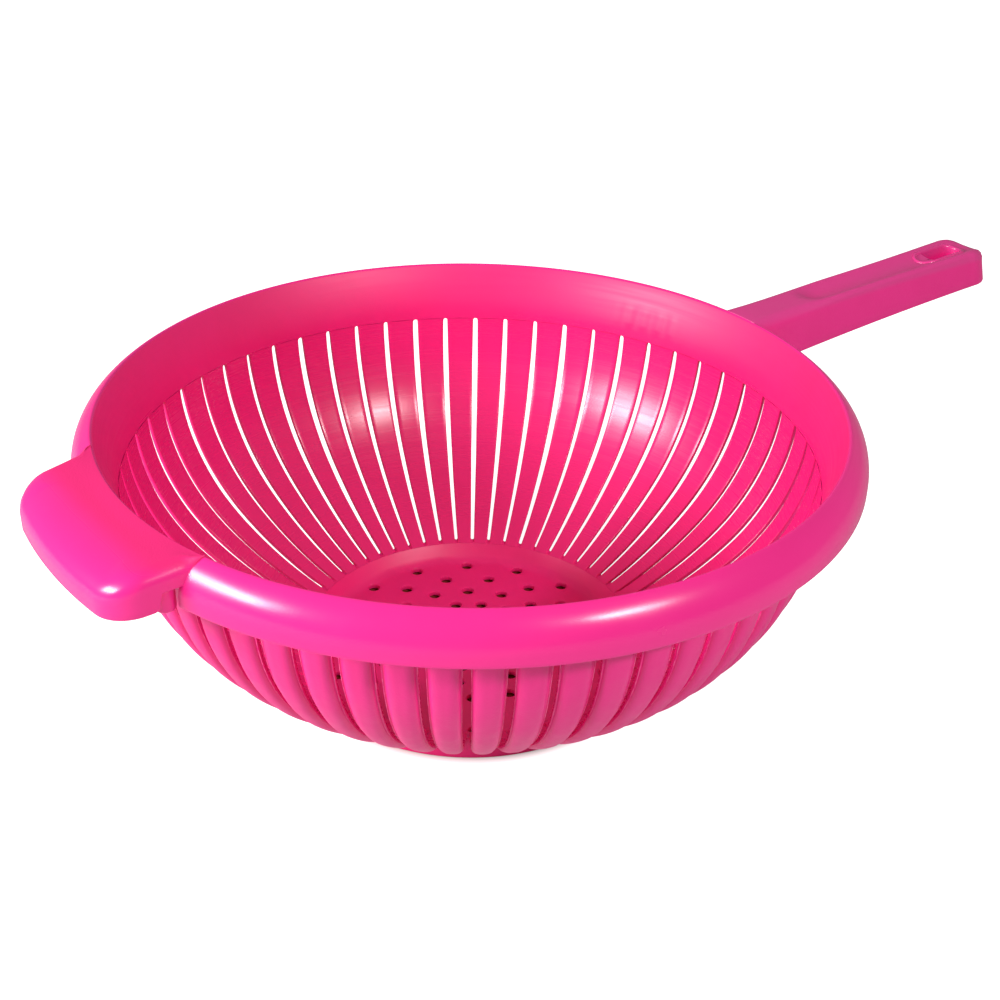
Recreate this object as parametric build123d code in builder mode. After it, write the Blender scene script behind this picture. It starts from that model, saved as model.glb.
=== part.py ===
from build123d import *
from math import cos, isclose, radians, sin, sqrt
import os

# A long-handled colander with a slotted bowl. Lengths are in millimetres and angles in degrees.
# +Z is up, the origin is the middle of the foot's underside and the handle points along +X.

# Heights above the surface that the foot stands on
floor_top_height = 2.5
slit_bottom_height = 8.0
slit_top_height = 77.0
skirt_bottom_height = 83.0
seat_height = 91.0
crest_height = 97.4

# Rim: it rolls over from the crest to a skirt, and the rest of the bowl takes its place from it
rim_outer_radius = 125.0
rim_width = 7.0
crest_radius = rim_outer_radius - rim_width
crest_edge_radius = 1.0
rim_roll_radius = 13.3
rim_thickness = 2.4
skirt_height = 2.7

# Bowl wall: its inner face runs down from the slit tops along two arcs that meet smoothly
collar_flare = 6.1
wall_top_radius = crest_radius - collar_flare
wall_top_lean = 3.8
upper_arc_radius = 70.5
upper_arc_turn = 41.9
lower_arc_radius = 117.0
wall_thickness = 2.6
lip_thickness = 1.2

# Slits and the wider grooves outside them, as angles about the bowl's axis
slit_count = 60
slit_angle = 1.0
groove_angle = 1.65
stave_edge_radius = 0.8

# Drain base: a shallow dish with a pierced floor and a low foot ring
foot_inset = 51.9
foot_radius = wall_top_radius - foot_inset
foot_ring_width = 4.0
foot_ring_height = 0.7
foot_shoulder_height = 4.5
floor_inset = 7.5
floor_radius = foot_radius - floor_inset
floor_edge_radius = 3.0
foot_edge_radius = 0.8
drain_hole_diameter = 4.2
drain_ring_count = 16
drain_ring_inset = 3.5
drain_ring_step = 8.5
drain_middle_radius = 15.0
last_drain_ring_radius = floor_radius - drain_ring_inset
drain_rings = int((last_drain_ring_radius - drain_middle_radius) / drain_ring_step)
first_drain_ring_radius = last_drain_ring_radius - (drain_rings - 1) * drain_ring_step
inner_drain_ring_radius = first_drain_ring_radius - drain_ring_step
inner_drain_ring_count = 8

# Front grip: a hollow block, drooping a little, that takes the rim's place opposite the handle
grip_overlap = 18.0
grip_inner_reach = crest_radius - grip_overlap
grip_setback = 13.0
grip_root_reach = rim_outer_radius - grip_setback
grip_root_half_width = 37.4
grip_end_half_width = 34.6
grip_side_length = 12.7
grip_corner_reach = rim_outer_radius + grip_side_length
grip_length = 16.0
grip_reach = rim_outer_radius + grip_length
grip_corner_radius = 12.0
grip_root_top_height = 97.7
grip_end_top_height = 94.2
grip_root_bottom_height = 85.4
grip_end_bottom_height = 82.4
grip_edge_radius = 3.0
grip_wall = 2.4
grip_post_diameter = 6.0
grip_post_inset = 2.5
grip_post_reach = rim_outer_radius - grip_post_inset
grip_post_side = 29.0
grip_post_drop = 2.0

# Handle: an inverted channel, waisted in plan, with a thumb scoop and a hanging eye
handle_root_half_width = 11.4
handle_waist_half_width = 10.4
handle_end_half_width = 11.6
handle_waist_length = 60.0
handle_waist_reach = rim_outer_radius + handle_waist_length
handle_side_length = 118.0
handle_end_reach = rim_outer_radius + handle_side_length
handle_length = 130.0
handle_tip_reach = rim_outer_radius + handle_length
handle_side_draft = 2.6
handle_tip_rake = 12.0
handle_root_bottom_height = 80.8
handle_tip_bottom_height = 86.3
handle_tip_top_height = 99.9
handle_edge_radius = 1.8
handle_wall = 2.2
handle_roof = 4.0
scoop_radius = 12.0
scoop_depth = 1.8
scoop_start_length = 31.0
scoop_start_reach = rim_outer_radius + scoop_start_length
rib_thickness = 1.6
rib_lift = 3.0
rib_count = 5
first_rib_length = 13.0
first_rib_reach = rim_outer_radius + first_rib_length
last_rib_length = 81.0
last_rib_reach = rim_outer_radius + last_rib_length

# Hanging eye: an oval tube through the handle's end
eye_length = 102.0
eye_reach = rim_outer_radius + eye_length
eye_half_length = 11.0
eye_half_width = 4.1
eye_wall = 1.6

# Clearance between curved faces that meet
fit_gap = 0.1


# Shared geometry of the bowl

slit_pitch = 360 / slit_count
upper_arc_end = wall_top_lean + upper_arc_turn
upper_centre = (
    wall_top_radius - upper_arc_radius * cos(radians(wall_top_lean)),
    slit_top_height + upper_arc_radius * sin(radians(wall_top_lean)),
)
lower_centre = (
    upper_centre[0] + (upper_arc_radius - lower_arc_radius) * cos(radians(upper_arc_end)),
    upper_centre[1] - (upper_arc_radius - lower_arc_radius) * sin(radians(upper_arc_end)),
)


def lower_wall_radius_at(height, depth):
    """Distance from the axis to the lower wall, at a depth below its inner face."""
    return lower_centre[0] + sqrt((lower_arc_radius + depth) ** 2 - (lower_centre[1] - height) ** 2)


def collar_inner_at(height):
    """Distance from the axis to the flared inner face between the slit tops and the crest."""
    flare_share = (height - slit_top_height) / (crest_height - slit_top_height)
    return wall_top_radius + (crest_radius - wall_top_radius) * flare_share


def collar_outer_at(height):
    """Distance from the axis to the flared outer face, one wall outside the inner one."""
    return collar_inner_at(height) + wall_thickness


def meridian_plane(angle):
    """Upright plane through the axis, its X pointing outward at an angle about Z."""
    turn = radians(angle)
    return Plane(origin=(0, 0, 0), x_dir=(cos(turn), sin(turn), 0), z_dir=(sin(turn), -cos(turn), 0))


def wall_band(angle, depth):
    """Meridian section of the wall between the slit ends, from its inner face to a depth."""
    with BuildSketch(meridian_plane(angle)) as band:
        with BuildLine():
            inner_upper = CenterArc(upper_centre, upper_arc_radius, 0, -upper_arc_end)
            inner_lower = CenterArc(lower_centre, lower_arc_radius, -upper_arc_end, upper_arc_end - 90)
            outer_upper = CenterArc(upper_centre, upper_arc_radius + depth, 0, -upper_arc_end)
            outer_lower = CenterArc(
                lower_centre, lower_arc_radius + depth, -upper_arc_end, upper_arc_end - 90
            )
            Line(inner_upper @ 0, outer_upper @ 0)
            Line(inner_lower @ 1, outer_lower @ 1)
        make_face()
        with Locations((0, slit_bottom_height)):
            Rectangle(
                rim_outer_radius,
                slit_top_height - slit_bottom_height,
                align=(Align.MIN, Align.MIN),
                mode=Mode.INTERSECT,
            )
    return band.sketch


# Wall staves: sixty strips with a slit between neighbours, each a thin lip with a thicker crest

with BuildPart() as stave:
    add(wall_band(groove_angle / 2, wall_thickness))
    revolve(axis=Axis.Z, revolution_arc=slit_pitch - groove_angle)
    crest_radii = (upper_arc_radius + wall_thickness, lower_arc_radius + wall_thickness)
    crest_arcs = stave.edges().filter_by(GeomType.CIRCLE).filter_by(
        lambda edge: any(isclose(edge.radius, crest_radius) for crest_radius in crest_radii)
    )
    fillet(crest_arcs, stave_edge_radius)
    add(wall_band(slit_angle / 2, lip_thickness))
    revolve(axis=Axis.Z, revolution_arc=slit_pitch - slit_angle)

with BuildPart() as wall_staves:
    with PolarLocations(0, slit_count):
        add(stave.part)
wall_staves.part.label = "wall_staves"


# Drain base: floor, drain holes and foot, with a ledge that the staves stand on

with BuildPart() as drain_base:
    with BuildSketch(Plane.XZ) as base_section:
        with BuildLine():
            Polyline(
                (0, floor_top_height),
                (floor_radius, floor_top_height),
                (lower_wall_radius_at(slit_bottom_height, 0), slit_bottom_height),
                (lower_wall_radius_at(slit_bottom_height, wall_thickness), slit_bottom_height),
                (foot_radius, foot_shoulder_height),
                (foot_radius, 0),
                (foot_radius - foot_ring_width, 0),
                (foot_radius - foot_ring_width, foot_ring_height),
                (0, foot_ring_height),
                close=True,
            )
        make_face()
        floor_edge = base_section.vertices().sort_by_distance((floor_radius, floor_top_height))[0]
        fillet(floor_edge, floor_edge_radius)
        foot_edge = base_section.vertices().sort_by_distance((foot_radius, 0))[0]
        fillet(foot_edge, foot_edge_radius)
    revolve(axis=Axis.Z)
    for ring in range(drain_rings):
        ring_start = ring % 2 * 180 / drain_ring_count
        with PolarLocations(first_drain_ring_radius + ring * drain_ring_step, drain_ring_count, ring_start):
            Hole(drain_hole_diameter / 2)
    with PolarLocations(inner_drain_ring_radius, inner_drain_ring_count):
        Hole(drain_hole_diameter / 2)
drain_base.part.label = "drain_base"


# Bowl collar: the plain flared ring above the slits

with BuildPart() as bowl_collar:
    with BuildSketch(Plane.XZ):
        with BuildLine():
            Polyline(
                (collar_inner_at(slit_top_height), slit_top_height),
                (collar_outer_at(slit_top_height), slit_top_height),
                (collar_outer_at(seat_height), seat_height),
                (collar_inner_at(seat_height), seat_height),
                close=True,
            )
        make_face()
    revolve(axis=Axis.Z)
bowl_collar.part.label = "bowl_collar"


# Plans of the grip and the handle, which the rim is cut to fit

with BuildSketch(Plane.XY.offset(grip_end_bottom_height)) as grip_plan:
    with BuildLine():
        Polyline(
            (-grip_corner_reach, -grip_end_half_width),
            (-grip_root_reach, -grip_root_half_width),
            (-grip_inner_reach, -grip_root_half_width),
            (-grip_inner_reach, grip_root_half_width),
            (-grip_root_reach, grip_root_half_width),
            (-grip_corner_reach, grip_end_half_width),
        )
        ThreePointArc(
            (-grip_corner_reach, grip_end_half_width),
            (-grip_reach, 0),
            (-grip_corner_reach, -grip_end_half_width),
        )
    make_face()
    fillet(grip_plan.vertices().group_by(Axis.X)[0], grip_corner_radius)


def handle_plan(height, inset, slab_share):
    """Outline of the handle at a height; slab_share is how much of the draft and rake it has taken."""
    narrowing = inset + handle_side_draft * slab_share
    root = handle_root_half_width - narrowing
    waist = handle_waist_half_width - narrowing
    end = handle_end_half_width - narrowing
    end_reach = handle_end_reach - handle_tip_rake * slab_share
    tip_reach = handle_tip_reach - inset - handle_tip_rake * slab_share
    with BuildSketch(Plane.XY.offset(height)) as plan:
        with BuildLine():
            Polyline(
                (rim_outer_radius, -root),
                (grip_inner_reach, -root),
                (grip_inner_reach, root),
                (rim_outer_radius, root),
            )
            ThreePointArc((rim_outer_radius, root), (handle_waist_reach, waist), (end_reach, end))
            ThreePointArc((end_reach, end), (tip_reach, 0), (end_reach, -end))
            ThreePointArc((end_reach, -end), (handle_waist_reach, -waist), (rim_outer_radius, -root))
        make_face()
    return plan.sketch


def sloped_plane(start_reach, start_height, end_reach, end_height):
    """Plane across the part that passes through two heights, each at a distance along X."""
    run = end_reach - start_reach
    rise = end_height - start_height
    return Plane(origin=(start_reach, 0, start_height), x_dir=(run, 0, rise), z_dir=(-rise, 0, run))


handle_top_plane = sloped_plane(crest_radius, crest_height, handle_tip_reach, handle_tip_top_height)
handle_bottom_plane = sloped_plane(
    crest_radius, handle_root_bottom_height, handle_tip_reach, handle_tip_bottom_height
)
roof_height = crest_height - handle_roof
handle_height = handle_tip_top_height - handle_root_bottom_height
roof_share = (roof_height - handle_root_bottom_height) / handle_height

with BuildPart() as handle_block:
    add(handle_plan(handle_root_bottom_height, 0, 0))
    add(handle_plan(handle_tip_top_height, 0, 1))
    loft()
    split(bisect_by=handle_top_plane, keep=Keep.BOTTOM)
    split(bisect_by=handle_bottom_plane, keep=Keep.TOP)


# Rim bands: the rolled rim on each side, between the grip and the handle

with BuildSketch(Plane.XZ) as rim_roll:
    with Locations((rim_outer_radius - rim_roll_radius, skirt_bottom_height + skirt_height)):
        Circle(rim_roll_radius)
        Circle(rim_roll_radius - rim_thickness, mode=Mode.SUBTRACT)
        Rectangle(rim_roll_radius, rim_roll_radius, align=(Align.MIN, Align.MIN), mode=Mode.INTERSECT)
    with Locations((rim_outer_radius, skirt_bottom_height)):
        Rectangle(rim_thickness, skirt_height, align=(Align.MAX, Align.MIN))

with BuildSketch(Plane.XZ) as rim_section:
    with BuildLine():
        Polyline(
            (0, seat_height),
            (collar_outer_at(seat_height), seat_height),
            (collar_outer_at(crest_height), crest_height),
            (0, crest_height),
            close=True,
        )
    make_face()
    with Locations((rim_outer_radius - rim_roll_radius, skirt_bottom_height + skirt_height)):
        Circle(rim_roll_radius, mode=Mode.INTERSECT)
    add(rim_roll.sketch)
    with BuildLine():
        Polyline(
            (0, seat_height),
            (collar_inner_at(seat_height), seat_height),
            (collar_inner_at(crest_height + rim_thickness), crest_height + rim_thickness),
            (0, crest_height + rim_thickness),
            close=True,
        )
    make_face(mode=Mode.SUBTRACT)
    fillet(rim_section.vertices().sort_by(Axis.Y)[-1], crest_edge_radius)

with BuildPart() as rim_ring:
    add(rim_section.sketch)
    revolve(axis=Axis.Z)
    extrude(grip_plan.sketch, amount=crest_height - grip_end_bottom_height, mode=Mode.SUBTRACT)
    add(handle_block.part, mode=Mode.SUBTRACT)

rim_band_left = Part(rim_ring.solids().sort_by(Axis.Y)[-1].wrapped)
rim_band_left.label = "rim_band_left"
rim_band_right = Part(rim_ring.solids().sort_by(Axis.Y)[0].wrapped)
rim_band_right.label = "rim_band_right"


# Cutters shared by the grip and the handle: the bowl's inside, and the rim's inner wall

cutter_top_height = 2 * crest_height - seat_height

with BuildPart() as bowl_inside:
    with BuildSketch(Plane.XZ):
        with BuildLine():
            Polyline(
                (0, slit_top_height),
                (collar_outer_at(slit_top_height) + fit_gap, slit_top_height),
                (collar_outer_at(seat_height) + fit_gap, seat_height),
                (collar_inner_at(seat_height), seat_height),
                (collar_inner_at(cutter_top_height), cutter_top_height),
                (0, cutter_top_height),
                close=True,
            )
        make_face()
    revolve(axis=Axis.Z)

with BuildPart() as inner_wall:
    with BuildSketch(Plane.XZ):
        with BuildLine():
            Polyline(
                (0, seat_height),
                (collar_outer_at(seat_height), seat_height),
                (collar_outer_at(cutter_top_height), cutter_top_height),
                (0, cutter_top_height),
                close=True,
            )
        make_face()
    revolve(axis=Axis.Z)


# Front grip: a block open underneath, with the fingers' hollow inside it

grip_top_plane = sloped_plane(
    -grip_reach, grip_end_top_height, -grip_root_reach, grip_root_top_height
)
grip_bottom_plane = sloped_plane(
    -grip_reach, grip_end_bottom_height, -grip_root_reach, grip_root_bottom_height
)
grip_height = cutter_top_height - grip_end_bottom_height

with BuildPart() as grip_hollow:
    with BuildSketch(Plane.XY.offset(grip_end_bottom_height)):
        add(grip_plan.sketch)
        offset(amount=-grip_wall, mode=Mode.REPLACE)
    extrude(amount=grip_height)
    split(bisect_by=grip_top_plane.offset(-grip_wall), keep=Keep.BOTTOM)
    add(inner_wall.part, mode=Mode.SUBTRACT)

with BuildPart() as front_grip:
    add(grip_plan.sketch)
    extrude(amount=grip_height)
    split(bisect_by=grip_top_plane, keep=Keep.BOTTOM)
    split(bisect_by=grip_bottom_plane, keep=Keep.TOP)
    top_face = front_grip.faces().filter_by(lambda face: face.normal_at().Z > 0)[0]
    fillet(top_face.edges().sort_by(Axis.X)[:-1], grip_edge_radius)
    add(grip_hollow.part, mode=Mode.SUBTRACT)
    add(bowl_inside.part, mode=Mode.SUBTRACT)
front_grip.part.label = "front_grip"

with BuildPart() as grip_posts:
    with BuildSketch(Plane.XY.offset(skirt_bottom_height - grip_post_drop)):
        with Locations((-grip_post_reach, grip_post_side), (-grip_post_reach, -grip_post_side)):
            Circle(grip_post_diameter / 2)
    extrude(amount=grip_height)
    split(bisect_by=grip_top_plane.offset(-grip_wall), keep=Keep.BOTTOM)
grip_posts.part.label = "grip_posts"


# Handle: channel shell, ribs inside it and the hanging eye through its end

with BuildPart() as handle_cavity:
    add(handle_plan(handle_root_bottom_height, handle_wall, 0))
    add(handle_plan(roof_height, handle_wall, roof_share))
    loft()
    add(inner_wall.part, mode=Mode.SUBTRACT)

with BuildPart() as eye_hole:
    with BuildSketch(Plane.XY.offset(handle_root_bottom_height)):
        with Locations((eye_reach, 0)):
            SlotOverall(2 * (eye_half_length + eye_wall + fit_gap), 2 * (eye_half_width + eye_wall + fit_gap))
    extrude(amount=handle_height)

scoop_plane = handle_top_plane.offset(scoop_radius - scoop_depth)

with BuildPart() as thumb_scoop:
    with BuildSketch(scoop_plane):
        with Locations(((scoop_start_reach + eye_reach) / 2 - crest_radius, 0)):
            SlotCenterToCenter(eye_reach - scoop_start_reach, 2 * scoop_radius)
        Rectangle(handle_tip_reach, scoop_radius, align=(Align.MIN, Align.MIN), mode=Mode.INTERSECT)
    revolve(axis=Axis(scoop_plane.origin, scoop_plane.x_dir))

with BuildPart() as handle_shell:
    add(handle_block.part)
    top_edges = handle_shell.faces().sort_by(Axis.Z)[-1].edges()
    fillet(top_edges.sort_by(Axis.X)[1:], handle_edge_radius)
    add(handle_cavity.part, mode=Mode.SUBTRACT)
    add(thumb_scoop.part, mode=Mode.SUBTRACT)
    add(eye_hole.part, mode=Mode.SUBTRACT)
    add(bowl_inside.part, mode=Mode.SUBTRACT)
handle_shell.part.label = "handle_shell"

rib_bottom_height = handle_root_bottom_height + rib_lift

with BuildPart() as rib_grid:
    with BuildSketch(Plane.XY.offset(rib_bottom_height)):
        with Locations(((first_rib_reach + last_rib_reach) / 2, 0)):
            with GridLocations((last_rib_reach - first_rib_reach) / (rib_count - 1), 0, rib_count, 1):
                Rectangle(rib_thickness, 2 * handle_root_half_width)
            Rectangle(last_rib_reach - first_rib_reach, rib_thickness)
    extrude(amount=roof_height - rib_bottom_height)

with BuildPart() as handle_ribs:
    add(handle_plan(handle_root_bottom_height, handle_wall + fit_gap, 0))
    add(handle_plan(roof_height, handle_wall + fit_gap, roof_share))
    loft()
    add(rib_grid.part, mode=Mode.INTERSECT)
handle_ribs.part.label = "handle_ribs"

with BuildPart() as hanging_eye:
    with BuildSketch(Plane.XY.offset(handle_root_bottom_height)):
        with Locations((eye_reach, 0)):
            SlotOverall(2 * (eye_half_length + eye_wall), 2 * (eye_half_width + eye_wall))
            SlotOverall(2 * eye_half_length, 2 * eye_half_width, mode=Mode.SUBTRACT)
    extrude(amount=handle_height)
    split(bisect_by=handle_top_plane.offset(-scoop_depth), keep=Keep.BOTTOM)
    split(bisect_by=handle_bottom_plane, keep=Keep.TOP)
hanging_eye.part.label = "hanging_eye"


# One STEP file for each node

os.makedirs("parts", exist_ok=True)
nodes = (
    wall_staves.part,
    drain_base.part,
    bowl_collar.part,
    rim_band_left,
    rim_band_right,
    front_grip.part,
    grip_posts.part,
    handle_shell.part,
    handle_ribs.part,
    hanging_eye.part,
)
for node in nodes:
    export_step(node, f"parts/{node.label}.step")
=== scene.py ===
"""Moulded surfaces, plastics and studio of a long-handled slotted colander, laid out as an add-on.

Lengths are in metres. +Z is up, the origin is the middle of the foot's underside, and the handle
points along +X. Every surface is worked out as whole arrays from the sizes in the sidebar.
"""

import math

import bmesh
import bpy
import numpy as np
from mathutils import Matrix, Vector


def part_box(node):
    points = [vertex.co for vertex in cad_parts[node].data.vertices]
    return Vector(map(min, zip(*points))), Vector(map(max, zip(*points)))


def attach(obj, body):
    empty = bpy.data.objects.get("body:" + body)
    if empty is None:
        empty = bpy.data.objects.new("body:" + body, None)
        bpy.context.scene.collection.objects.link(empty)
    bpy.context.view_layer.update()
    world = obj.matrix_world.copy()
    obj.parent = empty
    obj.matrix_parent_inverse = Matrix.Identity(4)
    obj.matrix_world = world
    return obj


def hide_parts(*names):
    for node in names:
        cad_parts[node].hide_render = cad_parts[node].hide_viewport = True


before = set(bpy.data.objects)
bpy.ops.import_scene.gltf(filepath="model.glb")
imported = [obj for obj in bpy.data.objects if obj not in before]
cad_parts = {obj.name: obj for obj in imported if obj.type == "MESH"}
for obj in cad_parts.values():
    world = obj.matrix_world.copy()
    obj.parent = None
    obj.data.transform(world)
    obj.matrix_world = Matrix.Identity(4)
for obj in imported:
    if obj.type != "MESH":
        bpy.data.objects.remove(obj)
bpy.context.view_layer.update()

bl_info = {
    "name": "Slotted colander",
    "version": (1, 0, 0),
    "blender": (4, 5, 0),
    "location": "3D View > Sidebar > Colander",
    "description": "Builds the surfaces, plastics and studio of a long-handled slotted colander",
    "category": "Add Mesh",
}


FULL_TURN = 2.0 * math.pi

# Points closer than the first are welded, and edges shorter than the second are dissolved
WELD_DISTANCE = 1e-6
LEAST_EDGE = 1e-7

# Where the middle point of a small rounding lies, as a share of its size
MIDWAY = 0.3

# How far the grip and the handle run into the collar's outer face
RUN_IN = 0.0003

# Rounds after which a width agrees with the place that it is worked out for
SETTLING_ROUNDS = 4


# Sizes and colours in the sidebar


def length(name, description, default):
    """A length property in metres."""
    return bpy.props.FloatProperty(
        name=name, description=description, default=default, unit="LENGTH", precision=5
    )


def angle(name, description, degrees):
    """An angle property, given in degrees and kept in radians."""
    return bpy.props.FloatProperty(
        name=name, description=description, default=math.radians(degrees), subtype="ANGLE"
    )


def share(name, description, default):
    """A number from 0 to 1."""
    return bpy.props.FloatProperty(
        name=name, description=description, default=default, min=0.0, max=1.0, subtype="FACTOR"
    )


def count(name, description, default):
    """A whole number of at least 3."""
    return bpy.props.IntProperty(name=name, description=description, default=default, min=3)


def colour(name, description, default):
    """A linear colour with alpha."""
    return bpy.props.FloatVectorProperty(
        name=name, description=description, default=default, size=4, min=0.0, max=1.0, subtype="COLOR"
    )


def number(name, description, default):
    """A plain number."""
    return bpy.props.FloatProperty(name=name, description=description, default=default)


class BowlSizes(bpy.types.PropertyGroup):
    """Sizes of the slotted wall"""

    slit_count: count("Slits", "Slits round the wall", 60)
    slit_angle: angle("Slit angle", "Width of a slit, as an angle about the axis", 1.0)
    groove_angle: angle("Groove angle", "Width of the groove outside a slit, as an angle", 1.65)
    slit_bottom: length("Slit bottom", "Height of the slits' lower ends", 0.008)
    slit_top: length("Slit top", "Height of the slits' upper ends", 0.077)
    top_radius: length("Top radius", "Inner radius at the slits' upper ends", 0.1119)
    top_lean: angle("Top lean", "Lean of the wall at the slits' upper ends", 3.8)
    upper_radius: length("Upper arc", "Radius of the wall's upper arc", 0.0705)
    upper_turn: angle("Upper turn", "Turn of the wall's upper arc", 41.9)
    lower_radius: length("Lower arc", "Radius of the wall's lower arc", 0.117)
    wall: length("Wall", "Thickness of the wall at a stave's crest", 0.0026)
    lip: length("Lip", "Thickness of the wall beside a slit", 0.001)
    shoulder: length("Shoulder", "Width of the rounded shoulder along a stave", 0.0031)
    slit_edge: length("Slit edge", "Rounding of a slit's inner edges", 0.00022)
    flash: length("Flash", "Height of the thin flash line beside a slit", 0.00016)
    finger: length("Finger end", "Length of a stave's rounded lower end", 0.0034)
    fade: length("Groove fade", "Length in which a groove ends under the rim", 0.0018)
    spread: share("Spread", "How much the slits' widths differ", 0.13)
    waver: share("Waver", "How much one slit's width wavers along it", 0.06)


class BaseSizes(bpy.types.PropertyGroup):
    """Sizes of the drain base"""

    floor_top: length("Floor", "Height of the floor's upper face", 0.0025)
    floor_radius: length("Floor radius", "Radius at which the floor turns up", 0.0525)
    floor_edge: length("Floor edge", "Softness of the turn round the floor", 0.001)
    foot_radius: length("Foot radius", "Outer radius of the foot", 0.060)
    foot_width: length("Foot width", "Width of the foot ring", 0.004)
    foot_height: length("Foot height", "Height of the underside above the foot", 0.0007)
    foot_edge: length("Foot edge", "Rounding of the foot's outer edge", 0.0008)
    hole: length("Hole", "Diameter of a drain hole", 0.0042)
    hole_edge: length("Hole edge", "Rounding of a drain hole's edges", 0.00035)
    ring_holes: count("Ring holes", "Holes in each outer ring", 16)
    first_ring: length("First ring", "Radius of the first outer ring of holes", 0.0235)
    ring_step: length("Ring step", "Distance between rings of holes", 0.0085)
    rings: count("Rings", "Outer rings of holes", 4)
    inner_ring: length("Inner ring", "Radius of the inner ring of holes", 0.015)


class RimSizes(bpy.types.PropertyGroup):
    """Sizes of the collar and the rolled rim"""

    crest_radius: length("Crest radius", "Inner radius at the crest", 0.118)
    crest_height: length("Crest height", "Height of the crest", 0.0974)
    crest_edge: length("Crest edge", "Rounding of the crest's inner edge", 0.001)
    joint_radius: length("Joint radius", "Radius where the crest passes into the roll", 0.1194)
    cover_radius: length("Cover radius", "Radius where the grip and the handle begin on the crest", 0.1183)
    outer_radius: length("Outer radius", "Outer radius of the rim", float(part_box("rim_band_left")[1].y))
    roll_radius: length("Roll radius", "Radius of the rolled section", 0.0133)
    thickness: length("Thickness", "Thickness of the rim", 0.0024)
    skirt_bottom: length("Skirt bottom", "Height of the skirt's lower edge", 0.083)
    skirt_height: length("Skirt height", "Height of the skirt's straight part", 0.0027)
    skirt_edge: length("Skirt edge", "Rounding of the skirt's lower edge", 0.0005)
    tuck: length("Tuck", "How far the rim runs into the grip's and the handle's sides", 0.0012)


class GripSizes(bpy.types.PropertyGroup):
    """Sizes of the front grip and its posts"""

    root_reach: length("Root reach", "Where the sides begin to draw in", 0.112)
    root_half: length("Root half width", "Half the width at the rim", 0.0374)
    end_half: length("End half width", "Half the width at the front corners", 0.0346)
    corner_reach: length("Corner reach", "Reach of the front corners before rounding", 0.1377)
    reach: length("Reach", "Reach of the front face", 0.141)
    corner: length("Corner radius", "Rounding of the front corners in plan", 0.012)
    root_top: length("Root top", "Height of the top face at the rim", 0.0977)
    end_top: length("End top", "Height of the top face at the front", 0.0942)
    root_bottom: length("Root bottom", "Height of the lower edge at the rim", 0.0854)
    end_bottom: length("End bottom", "Height of the lower edge at the front", 0.0824)
    side_shoulder: length("Side shoulder", "Rounding of the top edges at the sides", 0.0042)
    front_reach: length("Front shoulder reach", "Width of the soft front shoulder", 0.0115)
    front_drop: length("Front shoulder drop", "Height of the soft front shoulder", 0.0068)
    fade_radius: length("Fade radius", "Radius at which the side shoulders begin", 0.1188)
    fade_width: length("Fade width", "Width in which the side shoulders grow", 0.0045)
    notch_reach: length("Notch reach", "Reach of the notch in the side walls at the rim", 0.1242)
    notch_height: length("Notch height", "Height of the notch in the side walls", 0.0052)
    wall: length("Wall", "Thickness of the grip", 0.0024)
    edge: length("Lower edge", "Rounding of the lower edge", 0.0005)
    post_radius: length("Post radius", "Radius of a post inside the grip", 0.003)
    post_reach: length("Post reach", "Distance of the posts along the grip", 0.1218)
    post_side: length("Post side", "Distance of a post from the middle", 0.0308)
    post_bottom: length("Post bottom", "Height of a post's lower end", 0.081)
    post_edge: length("Post edge", "Rounding of a post's lower end", 0.0009)


class HandleSizes(bpy.types.PropertyGroup):
    """Sizes of the handle and its hanging eye"""

    root_reach: length("Root reach", "Where the handle leaves the rim", 0.125)
    root_half: length("Root half width", "Half the width at the rim", 0.0114)
    waist_reach: length("Waist reach", "Where the handle is slimmest", 0.185)
    waist_half: length("Waist half width", "Half the width at the waist", 0.0104)
    end_reach: length("End reach", "Where the tip's curve begins", 0.2405)
    end_half: length("End half width", "Half the width at the end", 0.0116)
    tip_reach: length("Tip reach", "Reach of the tip at the lowest level of the root", 0.2531)
    draft: length("Draft", "Narrowing of each side from bottom to top", 0.0026)
    rake: length("Rake", "How far the tip leans back from bottom to top", 0.0055)
    tip_edge: length("Tip edge", "Rounding of the top edge at the tip", 0.0056)
    root_bottom: length("Root bottom", "Height of the lower edge at the crest", 0.0808)
    tip_bottom: length("Tip bottom", "Height of the lower edge at the tip", 0.0863)
    tip_top: length("Tip top", "Height of the top face at the tip", 0.0999)
    edge: length("Top edge", "Rounding of the top edges", 0.0018)
    root_edge: length("Root edge", "Rounding of the top edges where the handle leaves the rim", 0.0046)
    lower_edge: length("Lower edge", "Rounding of the lower edges", 0.0004)
    wall: length("Wall", "Thickness of the sides", 0.0022)
    roof: length("Roof", "Thickness of the top", 0.004)
    scoop_radius: length("Scoop radius", "Radius of the thumb scoop", 0.012)
    scoop_depth: length("Scoop depth", "Depth of the thumb scoop", 0.0018)
    scoop_start: length("Scoop start", "Where the scoop is first at full depth", 0.156)
    scoop_edge: length("Scoop edge", "Softness of the scoop's ridges", 0.00022)
    eye_reach: length("Eye reach", "Distance of the hanging eye", 0.227)
    eye_length: length("Eye half length", "Half the length of the eye", 0.011)
    eye_width: length("Eye half width", "Half the width of the eye", 0.0041)
    eye_wall: length("Eye wall", "Thickness of the tube round the eye", 0.0016)
    eye_bead: length("Eye bead", "How far the eye's rounded lip stands up", 0.0007)


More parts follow.
